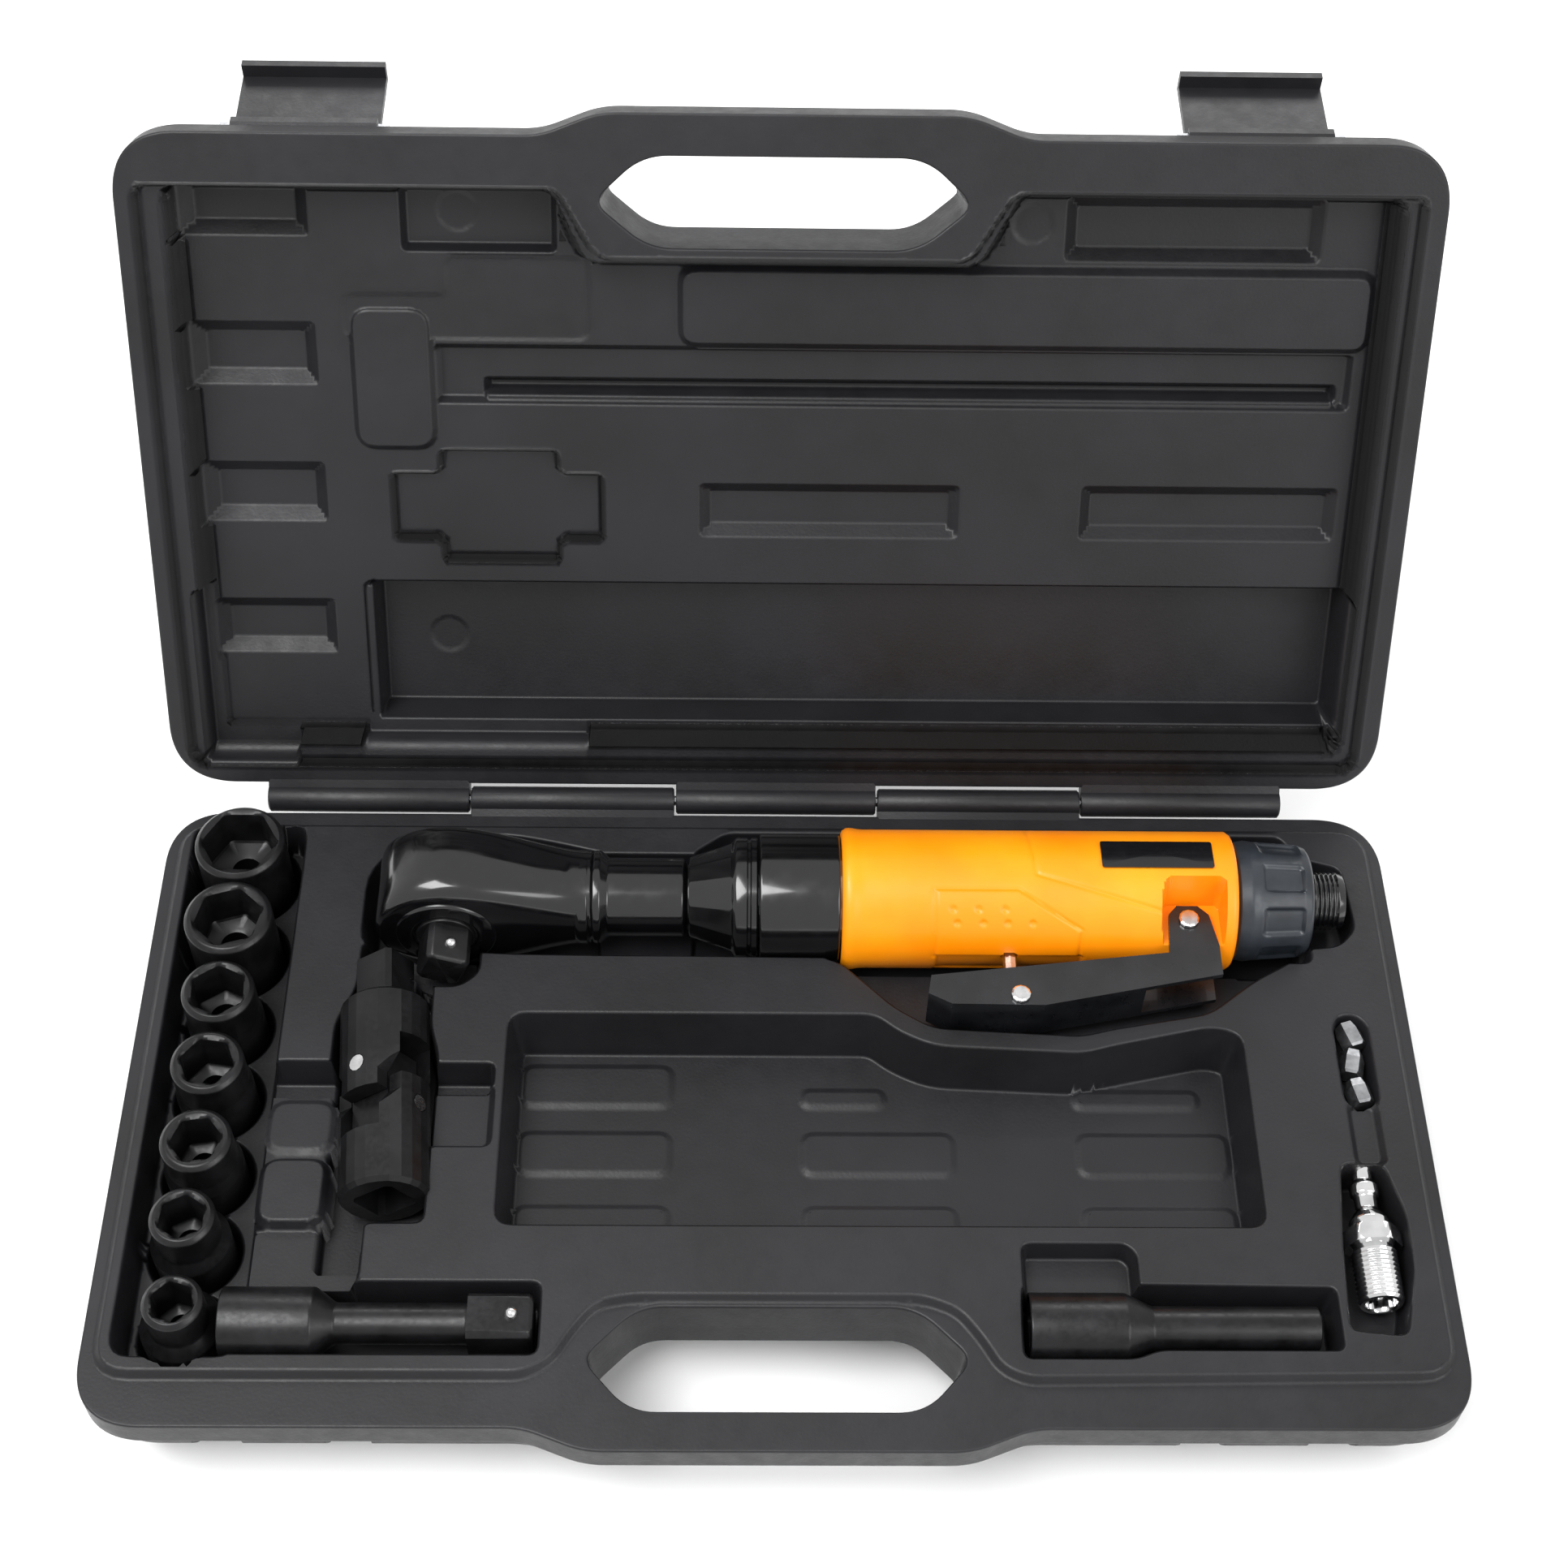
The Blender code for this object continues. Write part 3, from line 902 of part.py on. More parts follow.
def rear_end():
    """Turning exhaust deflector with grip flats, and the air inlet bushing through it."""
    r = 17.0 * ST
    ring = [(9.2 * ST, 132.0 * SX), (r, 132.0 * SX), (r + 0.6 * ST, 136.0 * SX), (r - 1.0 * ST, 153.0 * SX),
            (r - 2.2 * ST, 154.0 * SX), (9.2 * ST, 154.0 * SX)]
    made = turned("exhaust_deflector", ring, along_wrench(), 24, DARK_SATIN, closed=True)
    for i in range(6):
        a = math.tau * i / 6 + 0.2
        groove = rod(2.6 * ST, 6, 138.0 * SX, 156.0 * SX)
        place = along_wrench() @ at(1.08 * r * math.cos(a), 1.08 * r * math.sin(a), 0.0)
        cut(made, shape(f"deflector_groove_{i + 1}", groove, place))
    spigot = (AIRWAY_RADIUS - 0.3) * ST
    inlet = [(2.6 * ST, 119.0 * SX), (spigot, 119.0 * SX), (spigot, 131.9 * SX), (8.8 * ST, 131.9 * SX),
             (8.8 * ST, 154.4 * SX), (8.2 * ST, 154.4 * SX), (8.2 * ST, 164.6 * SX), (2.6 * ST, 164.6 * SX)]
    bush = turned("air_inlet", inlet, along_wrench(), FACETS_MEDIUM, GLOSS_BLACK, closed=True)
    mouth = rod(5.9 * ST, FACETS_SMALL, 156.0 * SX, 166.0 * SX)
    cut(bush, shape("inlet_mouth", mouth, along_wrench()))


def label():
    """A plain name plate without lettering, bent over the top of the grip."""
    r = GRIP_RADIUS * ST + 0.25
    thick = 0.6
    half = 4.8 * ST / r
    lean = math.radians(6.0)
    arc = [lean + half * (k / 3 - 1) for k in range(7)]
    outer = [((r + thick) * math.sin(a), (r + thick) * math.cos(a)) for a in arc]
    inner = [(r * math.sin(a), r * math.cos(a)) for a in arc[::-1]]
    outline = (outer + inner)[::-1]
    shape("grip_label", plate(outline, 92.5 * SX, 124.5 * SX), along_wrench(), LABEL_BLACK)


def build():
    case_base()
    case_lid()
    hinge_pin()
    latches()
    sockets()
    universal_joint()
    extension_bar()
    bit_adaptor()
    air_plug()
    driver_bits()
    along_y, half = ratchet_head()
    drive_parts(along_y, half)
    drive_line()
    clamp_and_housing()
    grip()
    lever_parts()
    rear_end()
    label()
    attach_steps()


build()
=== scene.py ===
"""Looks of a socket wrench set in its moulded carrying case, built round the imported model.

Lengths are in millimetres in the case frame: the origin is at the middle of the base's front edge, on the
plane where base and lid meet, y runs back to the hinge and z runs up. A piece is turned into row metres when
its mesh is made.
"""

import json
import math

import bmesh
import bpy
import numpy as np
from mathutils import Matrix, Vector
from mathutils.geometry import delaunay_2d_cdt


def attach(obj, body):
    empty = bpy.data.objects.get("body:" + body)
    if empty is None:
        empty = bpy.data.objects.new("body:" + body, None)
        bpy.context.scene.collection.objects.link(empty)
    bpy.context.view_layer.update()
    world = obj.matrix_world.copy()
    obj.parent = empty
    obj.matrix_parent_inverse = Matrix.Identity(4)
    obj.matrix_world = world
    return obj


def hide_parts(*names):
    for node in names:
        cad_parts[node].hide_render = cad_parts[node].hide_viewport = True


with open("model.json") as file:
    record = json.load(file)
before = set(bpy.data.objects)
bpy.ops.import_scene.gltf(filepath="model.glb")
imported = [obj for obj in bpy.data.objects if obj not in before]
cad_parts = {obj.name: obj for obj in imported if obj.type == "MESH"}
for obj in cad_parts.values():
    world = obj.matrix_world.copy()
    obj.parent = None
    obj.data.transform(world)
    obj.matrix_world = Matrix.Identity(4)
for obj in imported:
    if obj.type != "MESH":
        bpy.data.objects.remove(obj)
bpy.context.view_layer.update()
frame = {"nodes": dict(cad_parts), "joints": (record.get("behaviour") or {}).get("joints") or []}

MM = 0.001
CELL = 0.94  # grid spacing of the moulded skins
EDGE = 0.95  # plan width of each fillet, and of the draft on a wall
REACH = 4.0  # how far outside an outline its distance is still worked out

CASE_WIDTH = 360.0
CASE_DEPTH = 193.2
BASE_HEIGHT = 38.0
LID_HEIGHT = 34.0
FLANGE = 10.0
LID_OPEN = math.radians(116.2)
LATCH_OPEN = math.radians(152.0)
HINGE = (0.0, 198.4, 0.0)
LATCH_PIVOT = (0.0, 1.6, 13.2)
LATCH_AT = 129.5
WRENCH_Y = 160.0
WRENCH_Z = 4.6
HEAD_X = -94.9
HANDLE_THICK = 17.0
HANDLE_HALF = 62.0

hinge_at = [j for j in frame["joints"] if j["name"] == "lid_hinge"][0]["pos_m"]


def moved(x, y, z):
    return Matrix.Translation((x, y, z))


def turned_about(point, axis, angle):
    return moved(*point) @ Matrix.Rotation(angle, 4, axis) @ moved(*[-c for c in point])


CASE = moved(*[1000 * row - own for row, own in zip(hinge_at, HINGE)])
LID = CASE @ turned_about(HINGE, "X", -LID_OPEN)
LATCH = LID @ turned_about(LATCH_PIVOT, "X", -LATCH_OPEN)
ALONG_X = Matrix(((0, 0, 1, 0), (1, 0, 0, 0), (0, 1, 0, 0), (0, 0, 0, 1)))
ALONG_Y = Matrix(((0, 1, 0, 0), (0, 0, 1, 0), (1, 0, 0, 0), (0, 0, 0, 1)))


# ---------------------------------------------------------------- meshes from arrays


def as_mesh(name, points, triangles, place=CASE, normals=None):
    """An object from points in millimetres under a placement, with its normals set where they are given."""
    turn = np.array(place)
    world = (points @ turn[:3, :3].T + turn[:3, 3]) * MM
    if np.linalg.det(turn[:3, :3]) < 0:
        triangles = triangles[:, ::-1]
    mesh = bpy.data.meshes.new(name)
    mesh.vertices.add(len(world))
    mesh.vertices.foreach_set("co", world.astype(np.float32).ravel())
    mesh.loops.add(triangles.size)
    mesh.loops.foreach_set("vertex_index", triangles.astype(np.int32).ravel())
    mesh.polygons.add(len(triangles))
    mesh.polygons.foreach_set("loop_start", np.arange(0, triangles.size, 3, dtype=np.int32))
    mesh.update(calc_edges=True)
    mesh.shade_smooth()
    if normals is None:
        mesh.set_sharp_from_angle(angle=math.radians(38))
    else:
        mesh.normals_split_custom_set_from_vertices((normals @ turn[:3, :3].T).astype(np.float32))
    made = bpy.data.objects.new(name, mesh)
    bpy.context.scene.collection.objects.link(made)
    return made


def grid_triangles(rows, columns, closed_rows=False, closed_columns=False):
    """Two triangles for each cell of a rows by columns grid of points, wrapping where it is closed."""
    i = np.arange(rows if closed_rows else rows - 1)
    j = np.arange(columns if closed_columns else columns - 1)
    i, j = [a.ravel() for a in np.meshgrid(i, j, indexing="ij")]
    down, right = (i + 1) % rows, (j + 1) % columns
    a, b, c, d = i * columns + j, i * columns + right, down * columns + right, down * columns + j
    return np.concatenate([np.stack([a, b, c], 1), np.stack([a, c, d], 1)])


def without_slivers(points, triangles):
    """Merges points that coincide and drops the triangles that collapse with them, so poles close."""
    _, first, same = np.unique(np.round(points, 4), axis=0, return_index=True, return_inverse=True)
    triangles = same.reshape(-1)[triangles]
    a, b, c = triangles.T
    return points[first], triangles[(a != b) & (b != c) & (a != c)]


def skin(name, sections, place=CASE, closed_rows=False, caps=True):
    """The surface through a stack of closed sections, an array of sections by points by three, with flat caps
    at both ends as fans round the sections' middles."""
    sections = np.asarray(sections, float)
    rows, columns = sections.shape[:2]
    points = sections.reshape(-1, 3)
    triangles = grid_triangles(rows, columns, closed_rows, True)
    if caps and not closed_rows:
        middles = sections[[0, -1]].mean(axis=1)
        ring = np.arange(columns)
        after = np.roll(ring, -1)
        foot, head = len(points), len(points) + 1
        last = (rows - 1) * columns
        points = np.concatenate([points, middles])
        triangles = np.concatenate([triangles, np.stack([after, ring, np.full(columns, foot)], 1),
                                    np.stack([last + ring, last + after, np.full(columns, head)], 1)])
    points, triangles = without_slivers(points, triangles)
    corners = points[triangles]
    if np.einsum("ij,ij->i", corners[:, 0], np.cross(corners[:, 1], corners[:, 2])).sum() < 0:
        triangles = triangles[:, ::-1]
    return as_mesh(name, points, triangles, place)


def joined(name, pieces):
    """One object from several finished meshes."""
    bm = bmesh.new()
    for piece in pieces:
        bm.from_mesh(piece.data)
        old = piece.data
        bpy.data.objects.remove(piece)
        bpy.data.meshes.remove(old)
    mesh = bpy.data.meshes.new(name)
    bm.to_mesh(mesh)
    bm.free()
    mesh.shade_smooth()
    mesh.set_sharp_from_angle(angle=math.radians(38))
    made = bpy.data.objects.new(name, mesh)
    bpy.context.scene.collection.objects.link(made)
    return made


# ---------------------------------------------------------------- outlines


def rounded(points, radius, steps=4):
    """The outline with each corner replaced by a quadratic curve that starts and ends radius away from it."""
    here = np.asarray(points, float)
    radii = np.broadcast_to(radius, len(here))
    before, after = np.roll(here, 1, 0) - here, np.roll(here, -1, 0) - here
    back, on = [np.hypot(*v.T)[:, None] for v in (before, after)]
    reach = np.minimum(radii[:, None], 0.48 * np.minimum(back, on))
    start, end = here + before / back * reach, here + after / on * reach
    t = np.linspace(0, 1, steps + 1)[None, :, None]
    curve = start[:, None] * (1 - t) ** 2 + here[:, None] * 2 * t * (1 - t) + end[:, None] * t * t
    curve = curve.reshape(-1, 2)
    keep = np.hypot(*(curve - np.roll(curve, 1, 0)).T) > 1e-4
    return curve[keep]


def box_plan(x0, x1, y0, y1):
    return [(x0, y0), (x1, y0), (x1, y1), (x0, y1)]


def disc(radius, steps=48, x=0.0, y=0.0):
    a = np.arange(steps) * math.tau / steps
    return np.stack([x + radius * np.cos(a), y + radius * np.sin(a)], 1)


def signed_distance(points, outline):
    """Distance of each plan point to a closed counter-clockwise outline, negative inside it, and the unit
    direction that leads away from it."""
    corners = np.asarray(outline, float)
    distance = np.full(len(points), 1e6)
    outward = np.tile([1.0, 0.0], (len(points), 1))
    near = np.flatnonzero(((points > corners.min(0) - REACH) & (points < corners.max(0) + REACH)).all(1))
    p = points[near]
    best = np.full(len(p), 1e6)
    away = np.zeros_like(p)
    inside = np.zeros(len(p), bool)
    for start, end in zip(corners, np.roll(corners, -1, 0)):
        edge = end - start
        along = np.clip((p - start) @ edge / (edge @ edge), 0, 1)
        offset = p - start - along[:, None] * edge
        length = np.hypot(*offset.T)
        closer = length < best
        best[closer] = length[closer]
        face = np.array([edge[1], -edge[0]]) / np.hypot(*edge)
        unit = np.where(length[:, None] > 1e-6, offset / np.maximum(length, 1e-9)[:, None], face)
        side = np.sign(unit @ face)[:, None]
        away[closer] = (unit * np.where(side == 0, 1, side))[closer]
        crosses = (start[1] > p[:, 1]) != (end[1] > p[:, 1])
        meets = start[0] + (p[:, 1] - start[1]) * edge[0] / (edge[1] if edge[1] else 1.0)
        inside ^= crosses & (p[:, 0] < meets)
    distance[near] = np.where(inside, -best, best)
    outward[near] = away
    return distance, outward


# ---------------------------------------------------------------- moulded skins


def feature(outline, inner, outer, wall, shift, raised):
    tall = abs(outer - inner)
    soft = min(EDGE, 0.4 * tall)
    lean = math.atan2(tall - 2 * soft, wall)
    sign = -1 if inner < outer else 1
    marks = np.array([-EDGE, 0.0, wall, wall + EDGE]) + shift
    if not raised:
        marks -= wall
    return {"outline": np.asarray(outline, float), "marks": marks, "raised": raised,
            "levels": np.array([inner, inner - sign * soft, outer + sign * soft, outer]),
            "tilts": np.array([0.0, lean, lean, 0.0])}


def pocket(outline, floor, top=3.0, wall=EDGE, shift=-0.4):
    """A pocket: flat floor, fillet, drafted wall and a soft upper edge, all at set distances from its outline."""
    return feature(outline, floor, top, wall, shift, False)


def island(outline, top, foot, wall=EDGE, shift=0.0):
    """A raised pad or block with the same edges, standing outwards from its outline."""
    return feature(outline, top, foot, wall, shift, True)


def levels_of(one, distance):
    beyond = -1e6 if one["raised"] else 1e6
    return np.where(distance > one["marks"][-1], beyond, np.interp(distance, one["marks"], one["levels"]))


def relief(points, start, features):
    """Height and normal of the moulded face: pockets take the lowest level, islands the highest, in order."""
    height = np.full(len(points), start)
    normal = np.tile([0.0, 0.0, 1.0], (len(points), 1))
    for one in features:
        distance, outward = signed_distance(points, one["outline"])
        level = levels_of(one, distance)
        active = level > height + 1e-6 if one["raised"] else level < height - 1e-6
        tilt = np.interp(distance, one["marks"], one["tilts"])[active]
        side = (1 if one["raised"] else -1) * np.sin(tilt)[:, None] * outward[active]
        height[active] = level[active]
        normal[active] = np.column_stack([side, np.cos(tilt)])
    return height, normal


def snapped(points, start, features):
    """Moves each grid point onto the nearest fillet or wall line that shows, or onto the crossing of two, so
    the edges of pockets come out clean at any angle."""
    n = len(points)
    own = [signed_distance(points, one["outline"]) for one in features]
    lowest, runner_up, owner = np.full(n, start), np.full(n, 1e6), np.full(n, -1)
    for i, one in enumerate(features):
        level = levels_of(one, own[i][0])
        if one["raised"]:
            lift = level > lowest
            lowest, runner_up = np.where(lift, level, lowest), np.where(lift, level, runner_up)
            continue
        lower = level < lowest
        runner_up = np.where(lower, lowest, np.minimum(runner_up, level))
        lowest, owner = np.where(lower, level, lowest), np.where(lower, i, owner)
    gap = np.full((2, n), CELL / 2)
    error = np.zeros((2, n))
    side = np.zeros((2, n, 2))
    for i, one in enumerate(features):
        distance, outward = own[i]
        others = np.where(owner == i, runner_up, lowest)
        for mark, level in zip(one["marks"], one["levels"]):
            off = distance - mark
            size = np.abs(off)
            shows = np.ones(n, bool) if one["raised"] else level <= others + 0.3
            better = shows & (size < gap[0])
            crossing = np.abs(side[0, :, 0] * outward[:, 1] - side[0, :, 1] * outward[:, 0]) > 0.5
            demoted = better & crossing & (error[0] != 0)
            gap[1][demoted], error[1][demoted], side[1][demoted] = gap[0][demoted], error[0][demoted], side[0][demoted]
            second = shows & ~better & crossing & (size < gap[1])
            gap[1][second], error[1][second], side[1][second] = size[second], off[second], outward[second]
            gap[0][better], error[0][better], side[0][better] = size[better], off[better], outward[better]
    one_way = -error[0][:, None] * side[0]
    (ax, ay), (bx, by) = side[0].T, side[1].T
    cross = ax * by - ay * bx
    both = (np.abs(cross) > 0.5) & (gap[1] < CELL / 2)
    safe = np.where(both, cross, 1.0)
    two_way = np.stack([(-error[0] * by + error[1] * ay) / safe, (-error[1] * ax + error[0] * bx) / safe], 1)
    both &= np.hypot(*two_way.T) < 0.75 * CELL
    return points + np.where(both[:, None], two_way, one_way)


def moulded(start, features, rim, hole):
    """The moulded face as points, normals and triangles, cut along the rim outline and round the hole."""
    low, high = rim.min(0) - CELL, rim.max(0) + CELL
    x, y = [np.arange(a, b + CELL, CELL) for a, b in zip(low, high)]
    columns, rows = len(x), len(y)
    points = np.stack(np.meshgrid(x, y), -1).reshape(-1, 2)
    points = snapped(points, start, features)
    to_rim, rim_side = signed_distance(points, rim)
    to_hole, hole_side = signed_distance(points, hole)
    close = np.abs(to_rim) < CELL / 2
    points[close] -= (to_rim[:, None] * rim_side)[close]
    round_hole = np.abs(to_hole) < CELL / 2
    points[round_hole] -= (to_hole[:, None] * hole_side)[round_hole]
    to_rim[close] = 0.0
    to_hole[round_hole] = 0.0
    height, normal = relief(points, start, features)
    kept = (to_rim <= 1e-9) & (to_hole >= -1e-9)
    i, j = [a.ravel() for a in np.meshgrid(np.arange(rows - 1), np.arange(columns - 1), indexing="ij")]
    a, b = i * columns + j, i * columns + j + 1
    c, d = b + columns, a + columns
    key = height + 0.02 * np.clip(to_rim, -3, 3) + 0.02 * np.clip(to_hole, -3, 3)
    first = np.abs(key[a] - key[c]) <= np.abs(key[b] - key[d])
    one = np.where(first[:, None], np.stack([a, b, c], 1), np.stack([a, b, d], 1))
    two = np.where(first[:, None], np.stack([a, c, d], 1), np.stack([b, c, d], 1))
    triangles = np.concatenate([one, two])
    triangles = triangles[kept[triangles].all(1)]
    used, index = np.unique(triangles, return_inverse=True)
    triangles = index.reshape(triangles.shape)
    return np.column_stack([points[used], height[used]]), normal[used], triangles


def border(points, triangles, outline):
    """The free edge of the face that runs along an outline, in order round its middle."""
    edges = np.sort(np.concatenate([triangles[:, [0, 1]], triangles[:, [1, 2]], triangles[:, [2, 0]]]), axis=1)
    pairs, count = np.unique(edges, axis=0, return_counts=True)
    free = np.unique(pairs[count == 1])
    distance, _ = signed_distance(points[free, :2], outline)
    free = free[np.abs(distance) < 2 * CELL]
    middle = (outline.min(0) + outline.max(0)) / 2
    angle = np.arctan2(*(points[free, :2] - middle).T[::-1])
    return free[np.argsort(angle)]


def skirt(points, normals, triangles, loop, outline, profile, way=1, bend=None):
    """Carries a profile of (outward, height) points round a loop of the face and adds it to the arrays. The
    normals follow the profile's slope: way is 1 round the rim and -1 round a hole. Returns the arrays and the
    last ring."""
    profile = np.asarray(profile, float)
    slope = np.gradient(profile, axis=0)
    slope[0], slope[-1] = profile[1] - profile[0], profile[-1] - profile[-2]
    slope /= np.hypot(*slope.T)[:, None]
    base = points[loop, :2]
    distance, side = signed_distance(base, outline)
    base = base - distance[:, None] * side
    size, count = len(loop), len(points)
    rings, lean = [], []
    for k in range(1, len(profile)):
        out, height = np.full(size, profile[k, 0]), np.full(size, profile[k, 1])
        facing = way * np.column_stack([-slope[k, 1] * side, np.full(size, slope[k, 0])])
        if bend is not None:
            out, height = bend(base, out, height)
            facing[height > profile[k, 1]] = (0.0, 0.0, -1.0)
        rings.append(np.column_stack([base + out[:, None] * side, height]))
        lean.append(facing)
    new = grid_triangles(len(profile), size, False, True)[:, ::-way]
    index = np.concatenate([loop, count + np.arange(size * (len(profile) - 1))])
    return (np.concatenate([points] + rings), np.concatenate([normals] + lean),
            np.concatenate([triangles, index[new]]), index[-size:])


def crossings(points, outline):
    """How many edges of an outline lie to the right of each point: an odd count is inside."""
    a, b = outline, np.roll(outline, -1, axis=0)
    x, y = points[:, :1], points[:, 1:2]
    rise = np.where(b[:, 1] == a[:, 1], 1.0, b[:, 1] - a[:, 1])
    at = a[:, 0] + (y - a[:, 1]) / rise * (b[:, 0] - a[:, 0])
    return (((a[:, 1] > y) != (b[:, 1] > y)) & (x < at)).sum(axis=1)


def filled(points, loops):
    """Triangles that close the flat area between several loops of points."""
    order = np.concatenate([list(loop) for loop in loops])
    edges, first = [], 0
    for loop in loops:
        edges += [(first + k, first + (k + 1) % len(loop)) for k in range(len(loop))]
        first += len(loop)
    flat = points[order, :2]
    made, _, faces, origins, _, _ = delaunay_2d_cdt([Vector(p) for p in flat], edges, [], 0, 1e-5)
    source = np.array([origin[0] if origin else np.hypot(*(flat - np.array(at)).T).argmin()
                       for at, origin in zip(made, origins)])
    triangles = order[source[np.array(faces)]]
    a, b, c = triangles.T
    triangles = triangles[(a != b) & (b != c) & (a != c)]
    middles = points[triangles].mean(axis=1)[:, :2]
    count = sum(crossings(middles, points[list(loop), :2]) for loop in loops)
    return triangles[count % 2 == 1]




# ---------------------------------------------------------------- finishes


def linear(code):
    """An sRGB hex colour as linear values."""
    s = [int(code[i:i + 2], 16) / 255 for i in (1, 3, 5)]
    return tuple(c / 12.92 if c <= 0.04045 else ((c + 0.055) / 1.055) ** 2.4 for c in s) + (1.0,)


def node(tree, kind, settings=None, links=None):
    """Adds one shader node with its settings, input values and incoming links."""
    made = tree.nodes.new("ShaderNode" + kind)
    for key, value in (settings or {}).items():
        if key in made.inputs:
            made.inputs[key].default_value = value
        else:
            setattr(made, key, value)
    for key, source in (links or {}).items():
        tree.links.new(source, made.inputs[key])
    return made


def surface(name, settings):
    """A material with its principled shader, and Object coordinates for its patterns."""
    made = bpy.data.materials.new(name)
    made.use_nodes = True
    tree = made.node_tree
    shader = tree.nodes["Principled BSDF"]
    for key, value in settings.items():
        shader.inputs[key].default_value = value
    where = node(tree, "TexCoord").outputs["Object"]
    return made, tree, shader, where


def tinted(tree, factor, low, high):
    """A colour that runs from low to high with a factor."""
    mix = node(tree, "Mix", {"data_type": "RGBA"}, {})
    tree.links.new(factor, mix.inputs[0])
    mix.inputs[6].default_value = low
    mix.inputs[7].default_value = high
    return mix.outputs[2]


def spread(tree, source, low, high, out_low=0.0, out_high=1.0):
    """A value clamped and rescaled between two ends."""
    ends = {"From Min": low, "From Max": high, "To Min": out_low, "To Max": out_high}
    return node(tree, "MapRange", ends, {"Value": source}).outputs["Result"]


def grain(tree, where, size_mm, detail=2.0, rough=0.5):
    """Noise whose grains are about size_mm across."""
    settings = {"Scale": 1000.0 / size_mm, "Detail": detail, "Roughness": rough}
    return node(tree, "TexNoise", settings, {"Vector": where}).outputs["Fac"]


def bumped(tree, shader, height, depth_mm):
    """Relief of a given depth on the shader's normal."""
    bump = node(tree, "Bump", {"Strength": 1.0, "Distance": depth_mm * MM}, {"Height": height})
    tree.links.new(bump.outputs["Normal"], shader.inputs["Normal"])


def moulded_polyethylene():
    """Blow-moulded polyethylene: charcoal, satin, with a fine sanded-mould grain and faint flow clouds."""
    made, tree, shader, where = surface("blow_moulded_polyethylene", {"Specular IOR Level": 0.38, "IOR": 1.5})
    clouds = grain(tree, where, 45.0, 3.0)
    fine = grain(tree, where, 0.9, 2.0)
    scuffs = grain(tree, where, 6.0, 4.0, 0.7)
    colour = tinted(tree, spread(tree, clouds, 0.35, 0.65), linear("#151517"), linear("#1c1c1f"))
    tree.links.new(colour, shader.inputs["Base Color"])
    tree.links.new(spread(tree, scuffs, 0.35, 0.7, 0.40, 0.52), shader.inputs["Roughness"])
    bumped(tree, shader, fine, 0.05)
    return made


# ---------------------------------------------------------------- case halves


def rim_outline(inset, bulge=6.2):
    """The outline of a case half drawn in by inset, with the handle standing out of the front edge."""
    half, back = CASE_WIDTH / 2 - inset, CASE_DEPTH - inset
    corners = [(-65.0, inset), (-49.0, inset - bulge), (49.0, inset - bulge), (65.0, inset),
               (half, inset), (half, back), (-half, back), (-half, inset)]
    radii = [5.0, 5.0, 5.0, 5.0, 17.0, 17.0, 17.0, 17.0]
    return rounded(corners, radii, 24)


def profile_of(points, radius):
    """An open profile with each inner corner turned into a short curve."""
    p = np.asarray(points, float)
    out = [p[0]]
    for before, here, after in zip(p, p[1:], p[2:]):
        back, on = before - here, after - here
        reach = min(radius, 0.45 * np.hypot(*back), 0.45 * np.hypot(*on))
        start, end = here + back / np.hypot(*back) * reach, here + on / np.hypot(*on) * reach
        for t in np.linspace(0, 1, 5):
            out.append(start * (1 - t) ** 2 + here * 2 * t * (1 - t) + end * t * t)
    out.append(p[-1])
    return np.array(out)


BASE_SOCKETS = ((-156.4, 174.0, 25.9), (-156.4, 147.8, 25.1), (-156.1, 123.1, 21.5), (-156.0, 100.1, 21.5),
                (-155.8, 76.0, 21.5), (-156.3, 53.2, 21.5), (-155.5, 29.0, 21.5))


